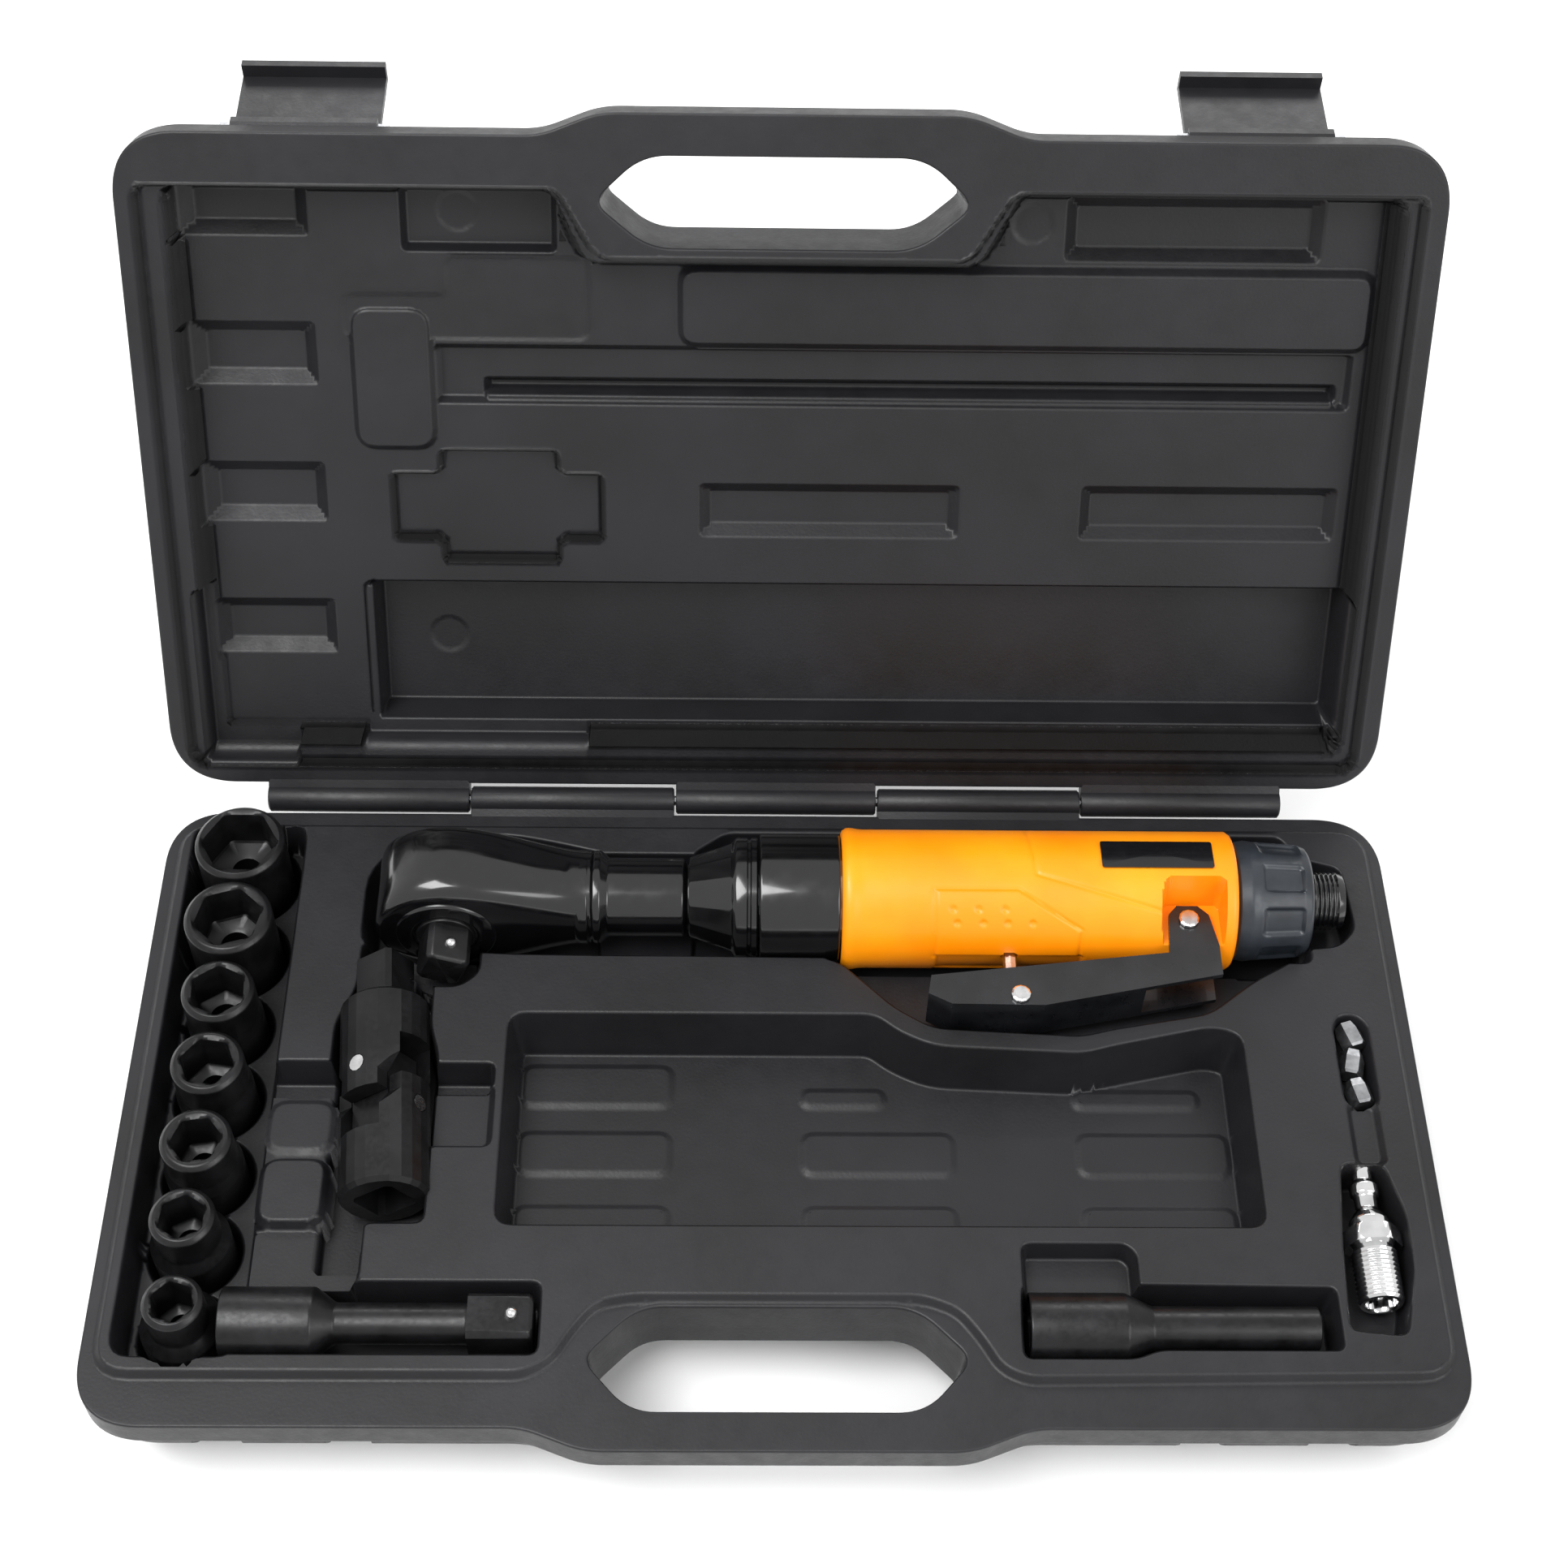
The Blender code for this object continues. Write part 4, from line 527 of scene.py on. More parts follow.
def base_features():
    """Pockets and pads of the base's face, from the outside in."""
    panel = [(-175.2, 14.0), (-66, 14.0), (-58.5, 17.8), (-53.8, 26.0), (-47.5, 33.8), (-38, 35.6), (38, 35.6),
             (47.5, 32.0), (53.5, 24.0), (58.0, 16.0), (64.5, 13.0), (175.2, 14.4), (175.2, 186.6), (-175.2, 186.6)]
    radii = [9, 3, 4, 4, 4, 4, 4, 4, 4, 4, 3, 9, 9, 9]
    lever = [(12, 141), (18.3, 139), (33.5, 123.8), (44.2, 117.2), (86.3, 114.8), (94, 117.0), (123, 122.4),
             (137, 133.5), (150, 141), (150, 150), (12, 150)]
    tray = [(-75.6, 55.6), (131.4, 55.6), (131.4, 116), (123, 118.5), (94, 112.0), (86, 109.6), (44, 111.6),
            (34, 116.6), (28, 121.9), (-75.6, 121.9)]
    plug = [(149.0, 26.0), (164.5, 24.5), (169.2, 44), (169.2, 60), (165.2, 75.4), (153.2, 75.4), (150.6, 52)]
    ujoint = [(-124, 43.5), (-110.5, 43.5), (-110.5, 56), (-94, 56), (-94, 108), (-97, 118), (-97, 132),
              (-106, 134), (-106, 146), (-119, 146), (-119, 131), (-124, 118)]
    found = [
        island(rounded(panel, radii, 5), 3.0, 0.0),
        pocket(rounded(box_plan(-172.2, -138.6, 17.8, 187.2), 6), -10.0, wall=1.6),
        pocket(rounded(box_plan(-142, -109.6, 37.8, 59.0), 4), -5.0),
        pocket(rounded(box_plan(-142, -118.0, 56.0, 106.0), 5), -4.5),
        pocket(rounded(box_plan(-142, -78, 97, 105.5), 2.5), -8.0),
        pocket(rounded(box_plan(-97, -77.6, 79, 99), 3), -1.0),
        pocket(rounded(ujoint, 3), -12.0),
        pocket(rounded([(-111, 142.5), (-107, 134.5), (-99, 130.2), (-90, 130.2), (-84.5, 135), (-84.5, 148),
                        (-111, 148)], 3), -6.0),
        pocket(rounded([(-119.6, 143.5), (-76, 141.3), (-50, 141), (-50, 177), (-66, 181), (-78, 183.5),
                        (-106, 183.5), (-119.6, 172)], [6, 2, 2, 2, 4, 6, 10, 10]), -16.0, wall=1.6),
        pocket(box_plan(-53, -22, 141, 177), -13.0),
        pocket(rounded([(-27, 141), (154.5, 139.6), (154.5, 176), (152.6, 180.6), (150, 184.6), (-15, 184.6),
                        (-25, 177)], 3), -16.0, wall=1.6),
        pocket(rounded([(150, 144), (163, 145.5), (168.4, 151.5), (166.8, 173.4), (156, 176.4), (150, 176.4)], 3),
               -8.0),
        pocket(rounded(lever, 4), -8.0),
        pocket(rounded(tray, [5, 5, 5, 5, 6, 5, 6, 5, 5, 5]), -15.5, wall=2.6),
        pocket(rounded(box_plan(-146.0, -61.6, 18.6, 39.4), 3), -11.2),
        pocket(rounded([(63.5, 18.0), (93, 18.0), (99, 20.4), (147.4, 20.4), (147.4, 38.6), (99.9, 39.2), (64, 39.2)],
                       2.5), -11.2),
        pocket(rounded([(64.5, 36), (95.6, 36), (95.6, 48), (92.5, 51.0), (64.5, 51.0)], 3), -4.0),
        pocket(rounded(plug, 3), -10.6),
        pocket(rounded([(157.0, 92.8), (167.4, 92.8), (167.4, 119), (164.5, 122.6), (159.5, 122.6), (157.0, 119)], 4),
               -5.0),
        pocket(rounded(box_plan(157.4, 166.8, 74.5, 95.0), 3), 0.0),
    ]
    for x, y, wide in BASE_SOCKETS:
        found.append(pocket(disc(wide / 2 + 1.2, 40, x, y), -26.5, top=-10.0, shift=0.6))
    for x0 in (-71.5, 7.8, 85.0):
        for y0, y1 in ((60.0, 69.5), (80.5, 92.5), (102.0, 114.0)):
            wide = 43.0 if not (x0 == 7.8 and y1 == 114.0) else 24.0
            wide = 36.0 if x0 == 85.0 and y1 == 114.0 else wide
            tall = 106.5 if x0 > 0 and y1 == 114.0 else y1
            found.append(island(rounded(box_plan(x0, x0 + wide - 1.5, y0, tall), 3), -13.9, -15.5))
    found.append(island(rounded(box_plan(-139.4, -122.6, 58.4, 77.2), 4.5), -1.0, -4.5))
    found.append(island(rounded(box_plan(-139.4, -122.6, 81.0, 95.6), 4.5), -2.6, -4.5))
    return found


def hole_outline(half, front, back, radius=7.0):
    middle = (front + back) / 2
    corners = [(-half, middle), (-38.0, front), (38.0, front), (half, middle), (36.5, back), (-36.5, back)]
    return rounded(corners, [5, radius, radius, 5, radius, radius], 8)


def handle_bend(base, out, height):
    """The body's wall under the handle, which ends at the handle's own thickness."""
    handle = (np.abs(base[:, 0]) < HANDLE_HALF) & (base[:, 1] < 12.0) & (height < -HANDLE_THICK)
    return np.where(handle, np.maximum(out, -6.5), out), np.where(handle, -HANDLE_THICK, height)


def base_bend(base, out, height):
    """The base's wall: thin under the handle, and drawn in behind the latches with the catch between."""
    x = np.abs(base[:, 0])
    gap = (np.clip((x - 106.4) / 1.2, 0, 1) * np.clip((153.0 - x) / 1.2, 0, 1)
           - np.clip((x - 117.0) / 1.2, 0, 1) * np.clip((141.6 - x) / 1.2, 0, 1))
    behind = (base[:, 1] < 12.0) & (height <= -FLANGE - 0.3)
    return handle_bend(base, out - 8.0 * gap * behind, height)


def case_half(name, features, hole, step, tall, place, bend, plinth=1.4):
    """One half as a closed skin: the moulded face, the rim and drafted body carried round it, the handle's
    inner wall, the step behind the thinner handle, and the flat outer face with a shallow panel."""
    rim = rim_outline(0.0)
    low = tall - 1e-3
    shell = profile_of([(-1.6, 0.0), (0.0, 0.0), (0.0, -FLANGE), (-4.2, -FLANGE - 0.3), (-4.9, -HANDLE_THICK),
                        (-5.6, -FLANGE - 0.5 * (tall - FLANGE)), (-8.4, -0.8 * tall), (-12.6, -low), (-15.2, -low)], 1.6)
    inner = profile_of([(1.6, 0.0), (0.0, 0.0), (-1.0, -FLANGE), (-1.9, -HANDLE_THICK), (-0.6, -HANDLE_THICK)],
                       1.2)
    face_rim = rim_outline(1.6)
    face_hole = grown(hole, 1.6)
    points, normals, triangles = moulded(0.0, features, face_rim, face_hole)
    outer = border(points, triangles, face_rim)
    round_hole = border(points, triangles, face_hole)
    shell[:, 0] += 1.6
    inner[:, 0] -= 1.6
    points, normals, triangles, foot = skirt(points, normals, triangles, outer, face_rim, shell, 1, bend)
    points, normals, triangles, hole_ring = skirt(points, normals, triangles, round_hole, face_hole, inner, -1)
    shallow = rounded(box_plan(-146, 146, 48, 172), 8, 6)
    ring = len(points) + np.arange(len(shallow))
    inset = len(points) + len(shallow) + np.arange(len(shallow))
    smaller = grown(shallow, -1.2)
    corners = len(points) + 2 * len(shallow) + np.arange(4)
    down = np.tile([0.0, 0.0, -1.0], (2 * len(shallow) + 4, 1))
    step_line = [(HANDLE_HALF, step), (-HANDLE_HALF, step)]
    points = np.concatenate([points, np.column_stack([shallow, np.full(len(shallow), -low)]),
                             np.column_stack([smaller, np.full(len(shallow), plinth - low)]),
                             [(x, y, -low) for x, y in step_line], [(x, y, -HANDLE_THICK) for x, y in step_line]])
    normals = np.concatenate([normals, down])
    under = np.flatnonzero(points[foot, 2] > -low + 1.0)
    left, right = under[0], under[-1]
    beyond = np.concatenate([foot[right + 1:], foot[:left]])
    deep = np.array([beyond[0], corners[0], corners[1], beyond[-1]])
    high = np.array([foot[right], corners[2], corners[3], foot[left]])
    outside = oriented(points, filled(points, [np.concatenate([beyond, deep[2:0:-1]]), ring]), -1)
    handle = oriented(points, filled(points, [np.concatenate([foot[left:right + 1], high[1:3]]), hole_ring]), -1)
    inside = oriented(points, filled(points, [inset]), -1)
    wall = np.concatenate([ring, inset])[grid_triangles(2, len(shallow), False, True)]
    riser = np.concatenate([deep, high])[grid_triangles(2, 4)]
    triangles = np.concatenate([triangles, outside, handle, inside, wall, riser])
    return as_mesh(name, points, triangles, place, normals)


def grown(outline, amount):
    """The outline moved outwards by an amount along its corner normals."""
    p = np.asarray(outline, float)
    before, after = p - np.roll(p, 1, 0), np.roll(p, -1, 0) - p
    before, after = [v / np.hypot(*v.T)[:, None] for v in (before, after)]
    side = np.column_stack([before[:, 1] + after[:, 1], -before[:, 0] - after[:, 0]])
    return p + side * (2 * amount / np.maximum((side ** 2).sum(1), 0.5))[:, None]


def oriented(points, triangles, way):
    """The triangles all turned to face up or down."""
    a, b, c = np.moveaxis(points[triangles], 1, 0)
    wrong = np.cross(b - a, c - a)[:, 2] * way < 0
    return np.where(wrong[:, None], triangles[:, ::-1], triangles)


def lid_features():
    """Recesses of the lid's face, with x and the distance from its hinge edge, as depths below the rim."""

    def span(x0, x1, l0, l1):
        return box_plan(x0, x1, CASE_DEPTH - l1, CASE_DEPTH - l0)

    def run(points):
        return [(x, CASE_DEPTH - l) for x, l in points][::-1]

    rim = run([(-175.4, 5), (-175.4, 179.4), (-61, 179.4), (-50.5, 160.4), (50.5, 160.4), (62, 179.4), (174.6, 179.4),
               (174.6, 5)])
    inner = run([(-168.4, 9.4), (-168.0, 177.2), (-63, 177.2), (-54.0, 157.6), (54, 157.6), (64.5, 177.2), (170.2, 177.2),
                 (170.0, 9.4)])
    block_left = run([(-122.4, 133), (-122.4, 144.6), (-93.4, 144.6), (-93.4, 155.4), (-54.2, 155.4), (-54.8, 133)])
    found = [
        pocket(rounded(rim, [6, 4, 4, 4, 4, 4, 4, 6][::-1]), -4.0, top=0.0, wall=EDGE),
        pocket(rounded(grown(inner, 1.6), 4), -5.4, top=-4.0),
        pocket(rounded(inner, [5, 4, 3, 4, 4, 3, 4, 5][::-1]), -17.0, top=-5.4, wall=2.4),
        pocket(rounded(span(-122.6, 169.5, 13.5, 58.5), 3), -29.5, top=-17.0, wall=0.8),
        pocket(rounded(span(-106, -62.5, 157, 175.2), 2), -21.0, top=-17.0),
        pocket(rounded(span(-23.4, 52.9, 73, 89.6), 2), -21.5, top=-17.0, wall=2.6),
        pocket(rounded(span(88, 163.4, 73, 89.8), 2), -21.5, top=-17.0, wall=2.6),
        pocket(rounded(span(78.6, 150.6, 156, 174.2), 2), -21.5, top=-17.0, wall=2.6),
        pocket(rounded(span(-98.8, 163.4, 113, 130.6), 2), -20.5, top=-17.0),
        pocket(rounded(span(-85.0, 160.0, 114.6, 120.0), 1.5), -25.5, top=-20.5, wall=1.2),
        pocket(rounded(run([(-113, 71), (-113, 92.4), (-98.8, 92.4), (-98.8, 99.6), (-63.4, 99.6), (-63.4, 92.4),
                            (-50.6, 92.4), (-50.6, 71), (-63.4, 71), (-63.4, 64.2), (-98.8, 64.2), (-98.8, 71)]), 2.5),
               -21.0, top=-17.0),
    ]
    found.append(pocket(rounded(span(-170.6, -142.3, 5.4, 60), 1.5), -14.4, top=-4.0, wall=0.5))
    found.append(pocket(rounded(span(-124.5, -56, 8.2, 24), 1.5), -17.0, top=-4.0, wall=0.5))
    for l0, l1 in ((161.0, 177.0), (118.2, 136.8), (76.8, 95.2), (35.0, 52.5)):
        found.append(pocket(rounded(span(-166.6, -131.2, l0, l1), 1.5), -21.5, top=-17.0, wall=3.0))
    found += [
        island(rounded(block_left, 2.5), -15.2, -17.0, wall=1.0),
        island(rounded(span(-27.8, 165.2, 132.2, 153.2), 4), -13.5, -17.0, wall=1.2),
        island(rounded(span(-120.6, -99.3, 100.8, 141.2), 5), -14.0, -17.0, wall=1.0),
        island(rounded(span(-122.6, -119.6, 11, 57), 1.0), -17.6, -29.5),
    ]
    for x, l in ((-90.4, 167.6), (69.4, 166.6), (-99.3, 36.2)):
        floor = -21.0 if x == -90.4 else -17.0 if x > 0 else -29.5
        found.append(pocket(disc(6.2, 32, x, CASE_DEPTH - l), floor - 0.8, top=floor, wall=0.5))
    return found


plastic = moulded_polyethylene()
base_skin = case_half("case_base_skin", base_features(), hole_outline(50.7, 4.6, 33.4), 44.0, BASE_HEIGHT, CASE, base_bend)
base_skin.data.materials.append(plastic)
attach(base_skin, "case")
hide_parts("case_base")

MIRROR = Matrix.Diagonal((1.0, 1.0, -1.0, 1.0))
lid_skin = case_half("case_lid_skin", lid_features(), hole_outline(51.5, CASE_DEPTH - 188, CASE_DEPTH - 163),
                     32.9, LID_HEIGHT, LID @ MIRROR, handle_bend)
lid_skin.data.materials.append(plastic)
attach(lid_skin, "lid")
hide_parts("case_lid")
# ---------------------------------------------------------------- more finishes


def mottled(name, low, high, settings, rough=(0.3, 0.4), size_mm=14.0, relief_mm=0.0, grain_mm=0.6):
    """A finish whose colour and gloss drift a little, with an optional fine relief."""
    made, tree, shader, where = surface(name, settings)
    drift = grain(tree, where, size_mm, 3.0)
    rub = grain(tree, where, size_mm / 5, 4.0, 0.6)
    tree.links.new(tinted(tree, spread(tree, drift, 0.35, 0.65), linear(low), linear(high)),
                   shader.inputs["Base Color"])
    tree.links.new(spread(tree, rub, 0.35, 0.65, *rough), shader.inputs["Roughness"])
    if relief_mm:
        bumped(tree, shader, grain(tree, where, grain_mm, 2.0), relief_mm)
    return made


black_oxide = mottled("black_oxide_steel", "#0d0d0e", "#19191b", {"Metallic": 0.35}, (0.28, 0.42), 8.0, 0.008)
gloss_black = mottled("gloss_black_enamel", "#060607", "#0b0b0d", {"Coat Weight": 0.6, "Coat Roughness": 0.08},
                      (0.14, 0.24), 25.0)
orange = mottled("orange_nylon", "#ff8c00", "#ff9a08", {"Specular IOR Level": 0.45}, (0.34, 0.44), 30.0, 0.012)
slate = mottled("slate_rubber", "#1d2126", "#2a2f35", {}, (0.30, 0.42), 10.0, 0.01)
lever_black = mottled("lever_enamel", "#0c0d0f", "#17181b", {"Coat Weight": 0.3}, (0.26, 0.38), 12.0)
bright = mottled("bright_steel", "#c9c9c9", "#ececec", {"Metallic": 1.0}, (0.16, 0.26), 4.0)
ground_steel = mottled("ground_steel", "#77787a", "#a2a3a5", {"Metallic": 1.0}, (0.28, 0.42), 5.0, 0.004)
chrome = mottled("chrome_plate", "#cfcfd0", "#f2f2f2", {"Metallic": 1.0}, (0.05, 0.11), 9.0)
label_black = mottled("label_film", "#07070a", "#0c0c0f", {"Coat Weight": 0.4}, (0.2, 0.28), 12.0)


def dress(piece, finish, body, *nodes):
    """Gives a piece its finish and its body, and hides the model's nodes that it stands for."""
    piece.data.materials.clear()
    piece.data.materials.append(finish)
    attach(piece, body)
    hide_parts(*nodes)


# ---------------------------------------------------------------- turned and bored pieces


def ring(radius, height, flats=0, across=0.0, turn=0.0, steps=96):
    """A round section at a height, cut by flats whose distance apart is across."""
    angle = np.arange(steps) * math.tau / steps
    size = np.full(steps, float(max(radius, 1e-4)))
    if flats:
        off = np.mod(angle - turn + math.pi / flats, math.tau / flats) - math.pi / flats
        size = np.minimum(size, across / 2 / np.cos(off))
    return np.column_stack([size * np.cos(angle), size * np.sin(angle), np.full(steps, float(height))])


def revolved(name, profile, place, soft=0.4, steps=96):
    """A solid of revolution from (radius, height) points that start and end on its axis."""
    return skin(name, [ring(r, h, steps=steps) for r, h in profile_of(profile, soft)], place)


def bored(name, outer, inner, place, soft=0.5, steps=96):
    """A tube: an outer profile of (radius, height) points, closed by inner sections back to its start."""
    sections = [ring(r, h, steps=steps) for r, h in profile_of(outer, soft)]
    sections += [ring(*section, steps=steps) for section in inner]
    return skin(name, sections, place, closed_rows=True, caps=False)


def square_bore(foot, depth, way, turn=0.0):
    """Inner sections of a female half-inch drive that opens at foot, from its floor to its chamfered mouth."""
    across, relief = 12.9, 8.2
    steps = [(relief, foot + way * depth, 4, across, turn), (relief, foot + way * 0.9, 4, across, turn),
             (relief + 0.9, foot, 4, across + 1.8, turn)]
    return steps


NUTS = ((19, -156.4, 174.0, 25.9), (17, -156.4, 147.8, 25.1), (14, -156.1, 123.1, 20.5),
        (13, -156.0, 100.1, 20.1), (12, -155.8, 76.0, 19.5), (11, -156.3, 53.2, 17.5), (10, -155.5, 29.0, 16.0))


def socket_piece(i, size, x, y, wide):
    """A six-point impact socket standing on its drive end."""
    top, foot, drive = 12.0, -26.0, 21.5
    nut, body = wide / 2, max(wide, drive) / 2
    outer = [(9.3, foot), (body, foot), (body, top - 14.5), (nut, top - 11.0), (nut, top - 1.2), (nut - 1.3, top),
             (size / math.sqrt(3) + 0.5, top)]
    if nut == body:
        del outer[2:4]
    turn = 0.3 * i + math.pi / 6
    corner = size / math.sqrt(3) * 0.985
    inner = [(corner + 0.1, top - 0.6, 6, size + 0.5, turn), (corner, top - 1.0, 6, size + 0.2, turn),
             (corner, top - 13.4, 6, size + 0.2, turn), (corner - 0.6, top - 14.0, 6, size - 0.8, turn),
             (0.3 * size, top - 14.6), (4.2, top - 15.0), (4.2, foot + 16.5), (8.2, foot + 16.4, 4, 12.9)]
    inner += square_bore(foot, 16.0, 1)
    made = bored(f"socket_{size}_body", outer, inner, CASE @ moved(x, y, 0.0))
    dress(made, black_oxide, f"socket_{size}", f"socket_{size}mm")


for order, (size, x, y, wide) in enumerate(NUTS):
    socket_piece(order, size, x, y, wide)


def male_square(place, foot, tip):
    """A male half-inch drive with broken corners and a chamfered end."""
    way = 1 if tip > foot else -1
    rows = [(8.0, foot, 12.7), (8.0, tip - way * 1.2, 12.7), (7.6, tip - way * 0.5, 12.0), (6.8, tip, 10.9)]
    return skin("drive", [ring(r, h, 4, a) for r, h, a in rows], place)


def bead(name, radius, place):
    """A small ball."""
    rows = [ring(radius * math.sin(t), -radius * math.cos(t), steps=32) for t in np.linspace(0, math.pi, 17)]
    return skin(name, rows, place, caps=False)


def bar_and_adaptor():
    """The extension bar and the bit adaptor, lying along the front."""
    bar = CASE @ moved(0.0, 29.0, -1.3) @ ALONG_X
    x0, x1 = -144.5, -63.5
    outer = [(6.9, x0), (9.4, x0), (9.4, -120.5), (5.4, -115.0), (5.4, x1 - 17.5), (6.2, x1 - 16.0),
             (3.0, x1 - 15.9), (0.001, x1 - 15.9)]
    body = bored("bar_body", outer, [(0.001, x0 + 14.2), (8.2, x0 + 14.1, 4, 12.9)] + square_bore(x0, 14.0, 1), bar)
    made = joined("extension_bar_body", [body, male_square(bar, x1 - 17.0, x1)])
    dress(made, black_oxide, "extension", "extension_bar")
    ball = bead("extension_detent", 1.7, bar @ moved(0.0, 12.7 / 2 + 0.3, x1 - 5.5))
    dress(ball, bright, "extension", "extension_bar_ball")
    adaptor = CASE @ moved(0.0, 28.4, -1.5) @ ALONG_X
    x0, x1 = 65.6, 141.8
    outer = [(6.9, x0), (9.2, x0), (9.2, 91.0), (5.8, 98.0), (5.8, x1), (4.2, x1)]
    inner = [(3.81, x1 - 0.8, 6, 6.6), (3.81, x1 - 12.0, 6, 6.6), (0.001, x1 - 12.2), (0.001, x0 + 14.2),
             (8.2, x0 + 14.1, 4, 12.9)]
    made = bored("bit_adaptor_body", outer, inner + square_bore(x0, 14.0, 1), adaptor)
    dress(made, black_oxide, "adaptor", "bit_adaptor")


bar_and_adaptor()


def threaded(radius, start, end, pitch, depth):
    """Profile points of a shallow V thread."""
    count = int((end - start) / pitch)
    points = []
    for k in range(count):
        at = start + k * pitch
        points += [(radius, at), (radius - depth, at + pitch / 2)]
    return points + [(radius, start + count * pitch)]


def plug_piece():
    """The air plug: tapered thread, hexagon and grooved nipple."""
    place = CASE @ moved(159.8, 0.0, -1.8) @ ALONG_Y
    foot = 35.5
    thread = [(r, foot + h) for r, h in threaded(6.2, 0.9, 15.6, 1.34, 0.55)]
    shank = [(5.3, 16.2), (5.4, 24.0), (4.2, 26.0), (3.1, 27.4), (3.1, 31.0), (3.9, 31.8), (3.9, 34.6), (2.7, 36.0),
             (2.9, 39.6), (2.5, 40.0), (1.7, 40.0)]
    outer = [ring(r, h) for r, h in profile_of([(4.6, foot), (5.6, foot)] + thread, 0.12)]
    outer += [ring(r, foot + h) for r, h in profile_of(shank, 0.35)]
    inner = [ring(1.7, foot + 39.0), ring(1.7, foot + 10.5), ring(4.2, foot + 9.0), ring(4.2, foot + 0.6)]
    body = skin("plug_body", outer + inner, place, closed_rows=True, caps=False)
    rows = [(7.6, 16.2, 14.2), (8.1, 16.7, 14.2), (8.1, 20.5, 14.2), (7.6, 21.0, 14.2)]
    hexagon = skin("plug_nut", [ring(r, foot + h, 6, a, 0.4 + math.pi / 6) for r, h, a in rows], place)
    dress(joined("air_plug_body", [body, hexagon]), chrome, "plug", "air_plug")


plug_piece()


# ---------------------------------------------------------------- air ratchet


WRENCH = CASE @ moved(0.0, WRENCH_Y, WRENCH_Z) @ ALONG_X
HEAD = CASE @ moved(HEAD_X, WRENCH_Y, WRENCH_Z) @ ALONG_Y


def ease(t):
    t = np.clip(t, 0, 1)
    return t * t * (3 - 2 * t)


def head_section(x, steps=96):
    """The head at x: a thick round disc on edge at the left, which narrows into the round neck. Height and
    depth are half sizes, and the corner power falls from a rounded box to a circle."""
    run = ease((x - HEAD_X) / (-53.0 - HEAD_X))
    swell = math.sqrt(max(20.5 ** 2 - min(x - HEAD_X, 0.0) ** 2, 0.0))
    tall = swell if x < HEAD_X else 20.5 + (13.4 - 20.5) * run
    edge = 1 - min(1.0, (x - HEAD_X + 20.5) / 3.2)
    deep = 13.5 - 2.6 * edge * edge if x < HEAD_X else 13.5 + (12.6 - 13.5) * run
    power = 2 / (5.0 - 2.8 * run)
    angle = np.arange(steps) * math.tau / steps
    y = deep * np.sign(np.cos(angle)) * np.abs(np.cos(angle)) ** power
    z = tall * np.sign(np.sin(angle)) * np.abs(np.sin(angle)) ** power
    along = np.clip((x + 104.0) / 44.0, 0, 1)
    rib = 1.1 * math.sin(math.pi * along) ** 0.35 if 0 < along < 1 else 0.0
    z = z + rib * np.exp(-((y - 1.0 + 3.0 * along) / 3.4) ** 4) * (z > 0)
    return np.column_stack([y, z, np.full(steps, float(x))])


def head_pieces():
    """The ratchet head with its neck and rings, the drive with its ball, and the cover ring."""
    reach = HEAD_X - 20.5 * np.cos(np.linspace(0.06, math.pi / 2, 22))
    rest = np.linspace(HEAD_X + 1.4, -53.6, 34)
    body = skin("head_body", [head_section(x) for x in np.concatenate([reach, rest])], WRENCH)
    neck = [(0.0, -58.0), (13.1, -58.0), (13.6, -56.8), (13.6, -54.4), (12.7, -53.9), (12.7, -53.2), (13.5, -52.7),
            (13.5, -50.8), (11.4, -48.6), (11.3, -27.0), (9.4, -25.8), (9.4, -7.0), (0.0, -7.0)]
    made = joined("head_shell", [body, revolved("head_neck", neck, WRENCH, 0.4)])
    dress(made, gloss_black, "wrench", "ratchet_head")
    boss = [(0.0, -4.5), (8.6, -4.5), (8.6, -12.9), (8.3, -14.3), (0.0, -14.3)]
    tilted = HEAD @ Matrix.Rotation(math.radians(22.0), 4, "Z")
    tip = -13.5 - 12.3
    made = joined("drive_body", [revolved("drive_boss", boss, HEAD), male_square(tilted, -13.4, tip)])
    dress(made, black_oxide, "drive", "drive_spindle")
    ball = bead("drive_detent", 1.7, tilted @ moved(12.7 / 2 + 0.3, 0.0, tip + 5.6))
    dress(ball, bright, "drive", "drive_ball")
    outer = [(9.0, -11.2), (14.6, -11.2), (14.6, -13.3), (13.9, -14.0), (9.8, -14.0), (9.0, -13.4)]
    made = skin("cover_ring", [ring(r, h) for r, h in rounded(outer, 0.3)], HEAD, closed_rows=True, caps=False)
    dress(made, gloss_black, "wrench", "head_cover")


head_pieces()


def nut_section(radius, height, flat):
    """A round section that turns into twelve flats by the share flat."""
    points = ring(radius, height)
    faceted = ring(radius * 1.02, height, 12, 2 * radius * 0.975)
    return points * (1 - flat) + faceted * flat


